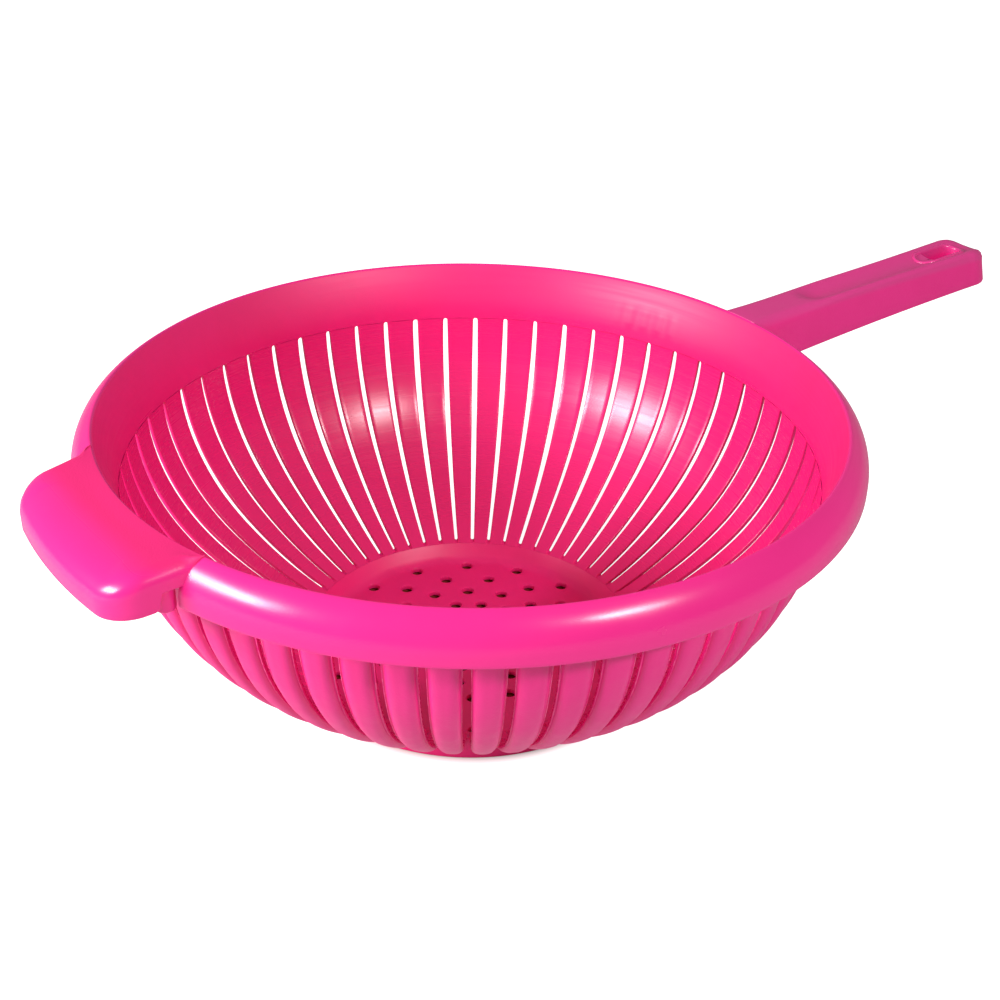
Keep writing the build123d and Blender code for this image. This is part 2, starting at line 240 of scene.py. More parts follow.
class PlasticLook(bpy.types.PropertyGroup):
    """Colours and gloss of the plastic"""

    # Painted shade: Pink and Deep pink are redder, less blue copies of the outer pinks below, for the shade
    # and red bounced light inside the bowl
    pink: colour("Pink", "Colour of the plastic inside the bowl", (0.9, 0.0175, 0.205, 1.0))
    deep: colour("Deep pink", "Colour in the flow marks inside", (0.83, 0.0135, 0.172, 1.0))
    outer: colour("Outer pink", "Colour of the plastic outside the bowl", (0.92, 0.021, 0.262, 1.0))
    outer_deep: colour("Deep outer pink", "Colour in the flow marks outside", (0.86, 0.017, 0.228, 1.0))
    # Painted sheen: a paler pink on the handle's top faces, for the pale sheen of light on their matte
    # texture
    wear_and_sheen: colour("Painted sheen pink", "Colour of the finely textured top faces", (0.77, 0.05, 0.27, 1.0))
    pale: colour("Pale flash", "Colour of the thin flash lines", (0.95, 0.13, 0.36, 1.0))
    rim_roughness: share("Rim roughness", "Roughness of the polished rim", 0.22)
    inside_roughness: share("Inside roughness", "Roughness inside the bowl", 0.27)
    outside_roughness: share("Outside roughness", "Roughness of the staves", 0.42)
    handle_roughness: share("Handle roughness", "Roughness of the handle", 0.45)


class StudioSettings(bpy.types.PropertyGroup):
    """Floor, lamps and camera"""

    floor: colour("Floor", "Colour of the floor", (0.62, 0.62, 0.62, 1.0))
    # Painted shade: a dark red colour on the floor under the foot, for the shadow there and the pink light
    # through the base
    shade: colour("Shade", "Colour of the floor under the foot", (0.3, 0.045, 0.035, 1.0))
    shade_radius: length("Shade radius", "Radius of the floor's shaded middle, under the foot", 0.056)
    glow: share("Glow", "How bright the floor shows to the camera", 0.95)
    sky: share("Sky", "Strength of the soft light from all round", 0.27)
    right_power: number("Right lamp", "Power of the lamp right of the camera, in watts", 3.9)
    left_power: number("Left lamp", "Power of the lamp left of the camera, in watts", 9.5)
    focal_length: number("Focal length", "Lens of the camera, in millimetres", 53.015)
    camera_place: bpy.props.FloatVectorProperty(
        name="Camera place", description="Where the camera stands", default=(-0.2455, -0.3427, 0.3038),
        subtype="TRANSLATION",
    )
    heading: angle("Heading", "Direction the camera looks in, from +X towards +Y", 53.11)
    pitch: angle("Pitch", "How far the camera looks down", 30.058)
    roll: angle("Roll", "How far the camera is turned about its own axis", 1.21)


def sizes(context, *names):
    """Groups of settings by name."""
    return [getattr(context.scene, "colander_" + name) for name in names]


# Meshes


def grid_quads(rows, columns, close_rows=False, close_columns=False):
    """Faces of a grid whose points are numbered row by row, as an array of four numbers each."""
    row = np.arange(rows if close_rows else rows - 1)[:, None]
    column = np.arange(columns if close_columns else columns - 1)[None, :]
    next_row = (row + 1) % rows
    next_column = (column + 1) % columns
    corners = (
        row * columns + column,
        row * columns + next_column,
        next_row * columns + next_column,
        next_row * columns + column,
    )
    return np.stack(corners, axis=-1).reshape(-1, 4)


def closed_quads(rows, around, fold=1):
    """Faces of a closed section carried in rows, with a strip of quads across it at either end.

    The strip is folded between the section's last and first points, or about the first for fold 0.
    """
    near = np.arange(around // 2 - fold)
    far = (around - fold - near) % around
    cap = np.stack([near, near + 1, (far - 1) % around, far], axis=-1)
    side = grid_quads(rows, around, close_columns=True)
    return np.concatenate([side, cap, cap + (rows - 1) * around])


def join_shapes(*shapes):
    """One (points, faces) pair from several, with the faces renumbered."""
    points = []
    faces = []
    start = 0
    for shape_points, shape_faces in shapes:
        flat = np.asarray(shape_points, float).reshape(-1, 3)
        points.append(flat)
        faces.append(np.asarray(shape_faces) + start)
        start += len(flat)
    return np.concatenate(points), np.concatenate(faces)


def add_piece(name, shape, finishes, nodes, crease=38.0, weld=True, flash=None, choose=None):
    """Makes a closed mesh from points and faces and puts it on the part.

    Points closer than a thousandth of a millimetre are welded where asked, so poles and seams close.
    Faces are turned outward, shaded smooth, and creased where they meet at more than the crease angle.
    """
    points, faces = shape
    mesh = bpy.data.meshes.new(name)
    mesh.from_pydata(points.reshape(-1, 3).tolist(), [], faces.tolist())
    if flash is not None:
        mesh.attributes.new("flash", "FLOAT", "POINT").data.foreach_set("value", flash.astype(np.float32))
    for finish in finishes:
        mesh.materials.append(finish)
    if choose is not None:
        mesh.polygons.foreach_set("material_index", choose.astype(np.int32))
    shell = bmesh.new()
    shell.from_mesh(mesh)
    if weld:
        bmesh.ops.remove_doubles(shell, verts=shell.verts, dist=WELD_DISTANCE)
        bmesh.ops.dissolve_degenerate(shell, edges=shell.edges, dist=LEAST_EDGE)
    bmesh.ops.recalc_face_normals(shell, faces=shell.faces)
    shell.to_mesh(mesh)
    shell.free()
    mesh.shade_smooth()
    mesh.set_sharp_from_angle(angle=math.radians(crease))
    mesh.update()
    piece = bpy.data.objects.new(name, mesh)
    bpy.context.scene.collection.objects.link(piece)
    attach(piece, "root")
    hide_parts(*nodes)
    return piece


def turned(radius, height, steps, start=0.0, end=FULL_TURN, closed=True):
    """A profile turned about Z, given as its radius and height, from a start to an end angle."""
    sweep = np.linspace(0.0, 1.0, steps, endpoint=not closed)[:, None]
    turn = start + (end - start) * sweep
    across = radius * np.cos(turn)
    along = radius * np.sin(turn)
    return np.stack([across, along, np.broadcast_to(height, across.shape)], axis=-1)


def ease(value):
    """Quarter circle from 0 to 1, flat at 1."""
    return np.sqrt(np.clip(1.0 - (1.0 - np.clip(value, 0.0, 1.0)) ** 2, 0.0, 1.0))


def smooth_step(value):
    """S-shaped passage from 0 to 1."""
    held = np.clip(value, 0.0, 1.0)
    return held * held * (3.0 - 2.0 * held)


# Shared lines of the bowl


def wall_radius(bowl, height, depth):
    """Distance from the axis to the slotted wall at a height, a depth below its inner face.

    The inner face is two arcs that meet smoothly, and a depth widens both arcs by the same amount.
    """
    turn = bowl.top_lean + bowl.upper_turn
    upper_across = bowl.top_radius - bowl.upper_radius * math.cos(bowl.top_lean)
    upper_height = bowl.slit_top + bowl.upper_radius * math.sin(bowl.top_lean)
    lower_across = upper_across + (bowl.upper_radius - bowl.lower_radius) * math.cos(turn)
    lower_height = upper_height - (bowl.upper_radius - bowl.lower_radius) * math.sin(turn)
    upper = bowl.upper_radius + depth
    lower = bowl.lower_radius + depth
    meeting = upper_height - upper * math.sin(turn)
    on_upper = upper_across + np.sqrt(np.maximum(upper**2 - (height - upper_height) ** 2, 0.0))
    on_lower = lower_across + np.sqrt(np.maximum(lower**2 - (height - lower_height) ** 2, 0.0))
    return np.where(height >= meeting, on_upper, on_lower)


def collar_radius(bowl, rim, height):
    """Inner radius above the slits: it leaves along the wall's lean and opens steadily to the crest."""
    rise = height - bowl.slit_top
    full_rise = rim.crest_height - bowl.slit_top
    lean = math.tan(bowl.top_lean)
    opening = (rim.crest_radius - bowl.top_radius - lean * full_rise) / full_rise**2
    return bowl.top_radius + lean * rise + opening * rise**2


def collar_face(bowl, rim, height):
    """Outer radius of the collar, less the little that the grip and the handle run into it."""
    return collar_radius(bowl, rim, height) + bowl.wall - RUN_IN


def roll_point(rim, turn, inset=0.0):
    """Radius and height on the rolled section at an angle above its widest point."""
    across = rim.outer_radius - rim.roll_radius + (rim.roll_radius - inset) * np.cos(turn)
    height = rim.skirt_bottom + rim.skirt_height + (rim.roll_radius - inset) * np.sin(turn)
    return across, height


def joint_turn(rim, radius):
    """Angle on the roll at a distance from the axis."""
    return math.acos((radius - rim.outer_radius + rim.roll_radius) / rim.roll_radius)


def grip_side(grip, reach):
    """Half the grip's width at a distance along it: level at the root, then drawing in to the front."""
    narrowing = (grip.root_half - grip.end_half) / (grip.corner_reach - grip.root_reach)
    return grip.root_half - narrowing * np.maximum(reach - grip.root_reach, 0.0)


def handle_share(handle, height):
    """How much of its draft and rake the handle has taken at a height."""
    return (height - handle.root_bottom) / (handle.tip_top - handle.root_bottom)


# Pieces


class COLANDER_OT_staves(bpy.types.Operator):
    """Build the sixty wall staves with their lips, shoulders and finger ends"""

    bl_idname = "colander.staves"
    bl_label = "Wall staves"

    # Distances of the close slices from either end of the wall, and the even ones between them
    end_runs = (0.0, 0.00012, 0.00032, 0.00065, 0.0011, 0.0018, 0.0027, 0.0039, 0.0052)
    even_start = 0.0068
    even_slices = 23

    # Chance differences between slits: seed, waves along a slit and the widest draw that counts
    seed = 11
    beats = (1.3, 2.7, 5.1)
    farthest_odds = 1.7

    # A slit's width at its top, how much it swells, and in what share of its length
    top_share = 0.84
    swelling = 0.31
    swelling_run = 0.11

    # Rounding of a slit's ends, and how a stave's crest sinks and narrows at its lower end
    top_rounding = 0.0009
    bottom_rounding = 0.0007
    end_power = 0.8
    end_width = 0.25

    # Rows of half a slice: across the inner face, down the slit's side, and over the flash line,
    # the shoulder, in degrees, and the crest
    inner_shares = (0.0, 0.34, 0.68, 1.0)
    side_share = 0.55
    flash_share = 0.45
    flash_top_share = 0.6
    shoulder_turns = (0.0, 25.0, 50.0, 72.0, 90.0)
    crest_share = 0.45

    # Rows at which the flash line and the outer side begin, and the most of a crest its shoulder takes
    flash_row = 7
    outer_row = 6
    widest_shoulder = 0.8

    def execute(self, context):
        bowl = context.scene.colander_bowl
        points, faces, flash, outside = self.shape(bowl)
        add_piece(
            "wall_staves",
            (points, faces),
            (inside_plastic(context), stave_plastic(context)),
            ("wall_staves",),
            crease=50.0,
            weld=False,
            flash=flash,
            choose=outside,
        )
        return {"FINISHED"}

    def levels(self, bowl):
        """Heights of the slices and their distances along the wall from its upper and lower ends.

        The slices are even along the arcs, with closer ones at both ends for the rounded slit ends.
        """
        turn = bowl.top_lean + bowl.upper_turn
        upper_height = bowl.slit_top + bowl.upper_radius * math.sin(bowl.top_lean)
        lower_height = upper_height - (bowl.upper_radius - bowl.lower_radius) * math.sin(turn)
        last = math.asin((lower_height - bowl.slit_bottom) / bowl.lower_radius)
        upper_length = bowl.upper_radius * bowl.upper_turn
        full = upper_length + bowl.lower_radius * (last - turn)
        fine = np.array(self.end_runs)
        middle = np.linspace(self.even_start, full - self.even_start, self.even_slices)
        run = np.concatenate([fine, middle, (full - fine)[::-1]])
        on_upper = upper_height - bowl.upper_radius * np.sin(bowl.top_lean + run / bowl.upper_radius)
        on_lower = lower_height - bowl.lower_radius * np.sin(turn + (run - upper_length) / bowl.lower_radius)
        height = np.where(run < upper_length, on_upper, on_lower)
        height[0] = bowl.slit_top
        height[-1] = bowl.slit_bottom
        return height, run, full - run

    def shape(self, bowl):
        """Stacked level slices of every stave.

        Half a slice runs from the middle of the inner face to the slit's edge, over the flash line and
        the lip, and up a quarter-ellipse shoulder to the crest. Its mirror image closes the loop.
        """
        chance = np.random.default_rng(self.seed)
        slits = bowl.slit_count
        height, from_top, from_bottom = self.levels(bowl)
        pitch = FULL_TURN / slits
        full = from_top[-1]
        swell = self.top_share + self.swelling * (1.0 - np.exp(-from_top / (self.swelling_run * full)))
        phase = chance.uniform(0.0, FULL_TURN, (slits, len(self.beats), 1))
        beats = np.array(self.beats)[None, :, None]
        waver = np.sin(FULL_TURN * beats * from_top / full + phase).mean(axis=1)
        odds = np.clip(chance.normal(size=(slits, 1)), -self.farthest_odds, self.farthest_odds)
        width = 1.0 + bowl.spread * odds
        rounding = ease(from_top / self.top_rounding) * ease(from_bottom / self.bottom_rounding)
        half_slit = 0.5 * bowl.slit_angle * width * swell * (1.0 + bowl.waver * waver) * rounding
        ends = ease(from_bottom / bowl.finger)
        lip = bowl.wall - (bowl.wall - bowl.lip) * ease(from_top / bowl.fade)
        crest = lip + (bowl.wall - lip) * ends**self.end_power
        inner_radius = wall_radius(bowl, height, 0.0)
        lip_radius = wall_radius(bowl, height, lip)
        crest_radius = wall_radius(bowl, height, crest)
        narrowing = self.end_width + (1.0 - self.end_width) * ends
        half_crest = 0.5 * (pitch - bowl.groove_angle) * lip_radius * narrowing
        shoulder = np.minimum(bowl.shoulder, self.widest_shoulder * half_crest)

        def half(slit):
            """Angles and depths of half a slice beside the given half slit angles."""
            edge = 0.5 * pitch - slit
            inner_edge = bowl.slit_edge / inner_radius
            lip_width = np.maximum(edge - half_crest / lip_radius, 0.0)
            bead = self.flash_share * lip_width
            angles = [(edge - inner_edge) * part for part in self.inner_shares]
            depths = [0.0] * len(angles)
            angles += [edge - MIDWAY * inner_edge, edge, edge, edge]
            depths += [MIDWAY * bowl.slit_edge, bowl.slit_edge, self.side_share * lip, lip + bowl.flash]
            angles += [edge - self.flash_top_share * bead, edge - bead]
            depths += [lip + bowl.flash, lip]
            for turn in self.shoulder_turns:
                lean = math.radians(turn)
                angles.append((half_crest - shoulder * (1.0 - math.cos(lean))) / lip_radius + edge * 0.0)
                depths.append(lip + (crest - lip) * math.sin(lean))
            angles += [self.crest_share * (half_crest - shoulder) / lip_radius + edge * 0.0, edge * 0.0]
            depths += [crest, crest]
            return (
                np.stack(np.broadcast_arrays(*angles), axis=-1),
                np.stack([np.broadcast_to(depth, edge.shape) for depth in depths], axis=-1),
            )

        left_angle, left_depth = half(half_slit)
        right_angle, right_depth = half(np.roll(half_slit, 1, axis=0))
        loop_angle = np.concatenate([left_angle, -right_angle[..., -2:0:-1]], axis=-1)
        loop_depth = np.concatenate([left_depth, right_depth[..., -2:0:-1]], axis=-1)
        radius = wall_radius(bowl, height[None, :, None], loop_depth)
        centre = pitch * (np.arange(slits) + 0.5)[:, None, None]
        turn = centre + loop_angle
        level = np.broadcast_to(height[None, :, None], turn.shape)
        points = np.stack([radius * np.cos(turn), radius * np.sin(turn), level], axis=-1)
        slices, around = len(height), loop_angle.shape[-1]
        faces = closed_quads(slices, around, fold=0)
        starts = (np.arange(slits) * slices * around)[:, None, None]
        row = np.arange(around)
        from_middle = np.minimum(row, around - row)
        flashes = np.isin(from_middle, [self.flash_row, self.flash_row + 1]).astype(float)
        place = faces[:, 0] % around
        outside = (place >= self.outer_row) & (place < around - self.outer_row)
        outside[(slices - 1) * around :] = False
        return (
            points.reshape(-1, 3),
            (faces[None] + starts).reshape(-1, 4),
            np.tile(flashes, slits * slices),
            np.tile(outside, slits),
        )


class COLANDER_OT_base(bpy.types.Operator):
    """Build the drain base with its pierced floor and foot ring"""

    bl_idname = "colander.base"
    bl_label = "Drain base"

    # Steps across and up a hole's cell, along the middle discs and up to the wall
    around_hole = 8
    border_steps = 4
    disc_steps = 5
    wall_steps = 7

    # The foot's side: drops below the ledge, its lower end and the turns of its edge, in degrees
    ledge_drops = (0.0006, 0.002)
    side_low = 0.003
    edge_turns = (0.0, 22.5, 45.0, 67.5, 90.0)

    # The foot ring's inner bevel, and the width of the flat beside it
    ring_bevel = 0.0003
    ring_flat = 0.0005

    def execute(self, context):
        bowl, base = sizes(context, "bowl", "base")
        sides = self.around_hole
        rings = [self.hole_ring(bowl, base, base.inner_ring, base.ring_holes // 2, 2 * sides, 0.0)]
        for ring in range(base.rings):
            radius = base.first_ring + ring * base.ring_step
            offset = ring % 2 * math.pi / base.ring_holes
            rings.append(self.hole_ring(bowl, base, radius, base.ring_holes, sides, offset))
        shape = join_shapes(*rings, *self.middle(base), self.foot(bowl, base))
        add_piece("drain_base", shape, (inside_plastic(context),), ("drain_base",), crease=40.0)
        return {"FINISHED"}

    def floor_height(self, bowl, base, radius):
        """Height of the floor's upper face: flat, then turning up softly to meet the slotted wall."""
        end = float(wall_radius(bowl, bowl.slit_bottom, 0.0))

        def ramp(beyond):
            return 0.5 * (beyond + np.sqrt(beyond**2 + base.floor_edge**2))

        rest = ramp(base.first_ring - base.floor_radius)
        slope = (bowl.slit_bottom - base.floor_top) / (ramp(end - base.floor_radius) - rest)
        return base.floor_top + slope * np.maximum(ramp(radius - base.floor_radius) - rest, 0.0)

    def hole_ring(self, bowl, base, centre, holes, side, offset):
        """A ring of cells, each a strip from its four-sided border in to its hole, down and out below.

        The border is even in radius and angle, so neighbouring cells share its points, and each ring
        of the strip lies a share of the way between the border and the hole's circle.
        """
        half_angle = math.pi / holes
        half_step = 0.5 * base.ring_step
        sweep = np.linspace(-1.0, 1.0, side + 1)[:-1]
        climb = np.linspace(1.0, -1.0, self.border_steps + 1)[:-1]
        held, level = np.ones(self.border_steps), np.ones(side)
        border_turn = half_angle * np.concatenate([sweep, held, -sweep, -held])
        border_radius = centre + half_step * np.concatenate([level, climb, -level, -climb])
        border = np.stack([border_radius * np.cos(border_turn), border_radius * np.sin(border_turn)], axis=-1)
        toward = border - np.array([centre, 0.0])
        toward = toward / np.linalg.norm(toward, axis=-1, keepdims=True)
        radius = 0.5 * base.hole
        edge = base.hole_edge
        wide, soft, tight = (
            np.array([centre, 0.0]) + toward * (radius + grow) for grow in (edge, MIDWAY * edge, 0.0)
        )
        upper = [border, 0.5 * (border + wide), wide, soft, tight]
        flat = np.stack(upper + upper[::-1])
        top = self.floor_height(bowl, base, np.linalg.norm(flat, axis=-1))
        bottom = np.full(border_turn.shape, base.foot_height)
        height = np.stack(
            [top[0], top[1], top[2], top[3] - MIDWAY * edge, top[4] - edge]
            + [bottom + edge, bottom + MIDWAY * edge, bottom, bottom, bottom]
        )
        turn = offset + FULL_TURN * np.arange(holes)[:, None, None] / holes
        across = flat[..., 0] * np.cos(turn) - flat[..., 1] * np.sin(turn)
        along = flat[..., 0] * np.sin(turn) + flat[..., 1] * np.cos(turn)
        points = np.stack([across, along, np.broadcast_to(height, across.shape)], axis=-1)
        rows, columns = height.shape
        faces = grid_quads(rows, columns, close_columns=True)
        starts = (np.arange(holes) * rows * columns)[:, None, None]
        return points, (faces[None] + starts).reshape(-1, 4)

    def middle(self, base):
        """Upper and lower discs inside the inner ring of holes, from the axis outward."""
        steps = self.disc_steps
        radius = (base.inner_ring - 0.5 * base.ring_step) * np.linspace(0.0, 1.0, steps)
        around = self.around_hole * base.ring_holes
        faces = grid_quads(around, steps, close_rows=True)
        heights = (base.floor_top, base.foot_height)
        return [(turned(radius, np.full(steps, height), around), faces) for height in heights]

    def foot(self, bowl, base):
        """Profile from the outermost cells up to the wall, down the foot and back below, turned about Z."""
        start = base.first_ring + (base.rings - 0.5) * base.ring_step
        wall_end = float(wall_radius(bowl, bowl.slit_bottom, 0.0))
        ledge = float(wall_radius(bowl, bowl.slit_bottom, bowl.lip))
        inner = base.foot_radius - base.foot_width
        floor_line = np.linspace(start, wall_end, self.wall_steps)
        edge_turn = np.radians(self.edge_turns)
        radius = np.concatenate(
            [
                floor_line,
                [ledge, 0.5 * (ledge + base.foot_radius), base.foot_radius, base.foot_radius],
                base.foot_radius - base.foot_edge * (1.0 - np.cos(edge_turn)),
                [inner + self.ring_flat, inner, inner - self.ring_bevel, start],
            ]
        )
        floor_rise = self.floor_height(bowl, base, floor_line)
        floor_rise[-1] = bowl.slit_bottom
        height = np.concatenate(
            [
                floor_rise,
                [bowl.slit_bottom, *(bowl.slit_bottom - np.array(self.ledge_drops)), self.side_low],
                base.foot_edge * (1.0 - np.sin(edge_turn)),
                [0.0, self.ring_bevel, base.foot_height, base.foot_height],
            ]
        )
        around = self.around_hole * base.ring_holes
        return turned(radius, height, around), grid_quads(around, len(radius), close_rows=True)


class COLANDER_OT_collar(bpy.types.Operator):
    """Build the collar above the slits, up to the crest"""

    bl_idname = "colander.collar"
    bl_label = "Bowl collar"

    # Points round the axis and along each part of the section
    around = 480
    inner_points = 13
    crest_points = 5
    roll_points = 4
    outer_points = 8

    # Least drop of the outer face's upper end below the roll
    roll_clearance = 0.0008

    def execute(self, context):
        radius, height = self.section(*sizes(context, "bowl", "rim"))
        faces = grid_quads(self.around, len(radius), close_rows=True, close_columns=True)
        inner = np.arange(len(faces)) % len(radius) < self.inner_points
        add_piece(
            "bowl_collar",
            (turned(radius, height, self.around), faces),
            (rim_plastic(context), inside_plastic(context)),
            ("bowl_collar",),
            choose=inner,
        )
        return {"FINISHED"}

    def section(self, bowl, rim):
        """Closed section: up the inner face, round the crest, along the roll's start and down outside.

        The crest's rounding is a quarter turn between the inner face and the roll.
        """
        passing = joint_turn(rim, rim.joint_radius)
        crest_turn = joint_turn(rim, rim.crest_radius)
        low = rim.crest_height - rim.crest_edge
        inner_height = bowl.slit_top + (low - bowl.slit_top) * np.linspace(0.0, 1.0, self.inner_points)
        inner_radius = collar_radius(bowl, rim, inner_height)
        after = crest_turn - rim.crest_edge / rim.roll_radius
        first = np.array([inner_radius[-1], low])
        last = np.array(roll_point(rim, after))
        corner = np.array([collar_radius(bowl, rim, rim.crest_height), rim.crest_height])
        mix = np.linspace(0.0, 1.0, self.crest_points + 2)[1:-1, None]
        rounding = (1.0 - mix) ** 2 * first + 2.0 * mix * (1.0 - mix) * corner + mix**2 * last
        roll_radius, roll_height = roll_point(rim, np.linspace(after, passing, self.roll_points))
        back = np.array(roll_point(rim, passing, rim.thickness))
        outer_top = 0.5 * (back[1] + rim.skirt_bottom + rim.roll_radius - rim.thickness)
        highest = min(outer_top, back[1] - self.roll_clearance)
        outer_height = np.linspace(highest, bowl.slit_top, self.outer_points)
        outer_radius = collar_radius(bowl, rim, outer_height) + bowl.wall
        radius = np.concatenate([inner_radius, rounding[:, 0], roll_radius, [back[0]], outer_radius])
        height = np.concatenate([inner_height, rounding[:, 1], roll_height, [back[1]], outer_height])
        return radius, height


class COLANDER_OT_rim(bpy.types.Operator):
    """Build the rolled rim on both sides, between the grip and the handle"""

    bl_idname = "colander.rim"
    bl_label = "Rolled rim"

    # Slices along a band, points on its roll and the height of the skirt's extra line
    slices = 220
    roll_points = 17
    straight_line = 0.0014

    def execute(self, context):
        for name, side in (("rim_band_left", 1.0), ("rim_band_right", -1.0)):
            points, faces = self.band(*sizes(context, "rim", "grip", "handle"))
            points[..., 1] *= side
            add_piece(name, (points.reshape(-1, 3), faces), (rim_plastic(context),), (name,))
        return {"FINISHED"}

    def band(self, rim, grip, handle):
        """The rolled section carried from the handle's side to the grip's.

        Its outer line follows the roll down to the skirt's edge and its inner line comes back a
        thickness inside. Each point ends where its own circle passes into the handle and the grip.
        """
        passing = joint_turn(rim, rim.joint_radius)
        fall = np.linspace(passing, 0.0, self.roll_points)
        outer_radius, outer_height = roll_point(rim, fall)
        inner_radius, inner_height = roll_point(rim, fall[::-1], rim.thickness)
        outer = rim.outer_radius
        low = rim.skirt_bottom
        edge = rim.skirt_edge
        inner = outer - rim.thickness
        foot = [low + self.straight_line, low + edge, low + MIDWAY * edge, low]
        radius = np.concatenate(
            [outer_radius, [outer, outer, outer - MIDWAY * edge, outer - edge]]
            + [[inner + edge, inner + MIDWAY * edge, inner, inner], inner_radius]
        )
        height = np.concatenate([outer_height, foot, foot[::-1], inner_height])
        handle_half = handle.root_half - handle.draft * handle_share(handle, height) - rim.tuck
        start = np.arcsin(handle_half / radius)
        grip_half = np.full(radius.shape, grip.root_half)
        for _ in range(SETTLING_ROUNDS):
            grip_half = grip_side(grip, np.sqrt(radius**2 - grip_half**2))
        end = math.pi - np.arcsin((grip_half - rim.tuck) / radius)
        points = turned(radius, height, self.slices, start, end, closed=False)
        return points, closed_quads(self.slices, len(radius))


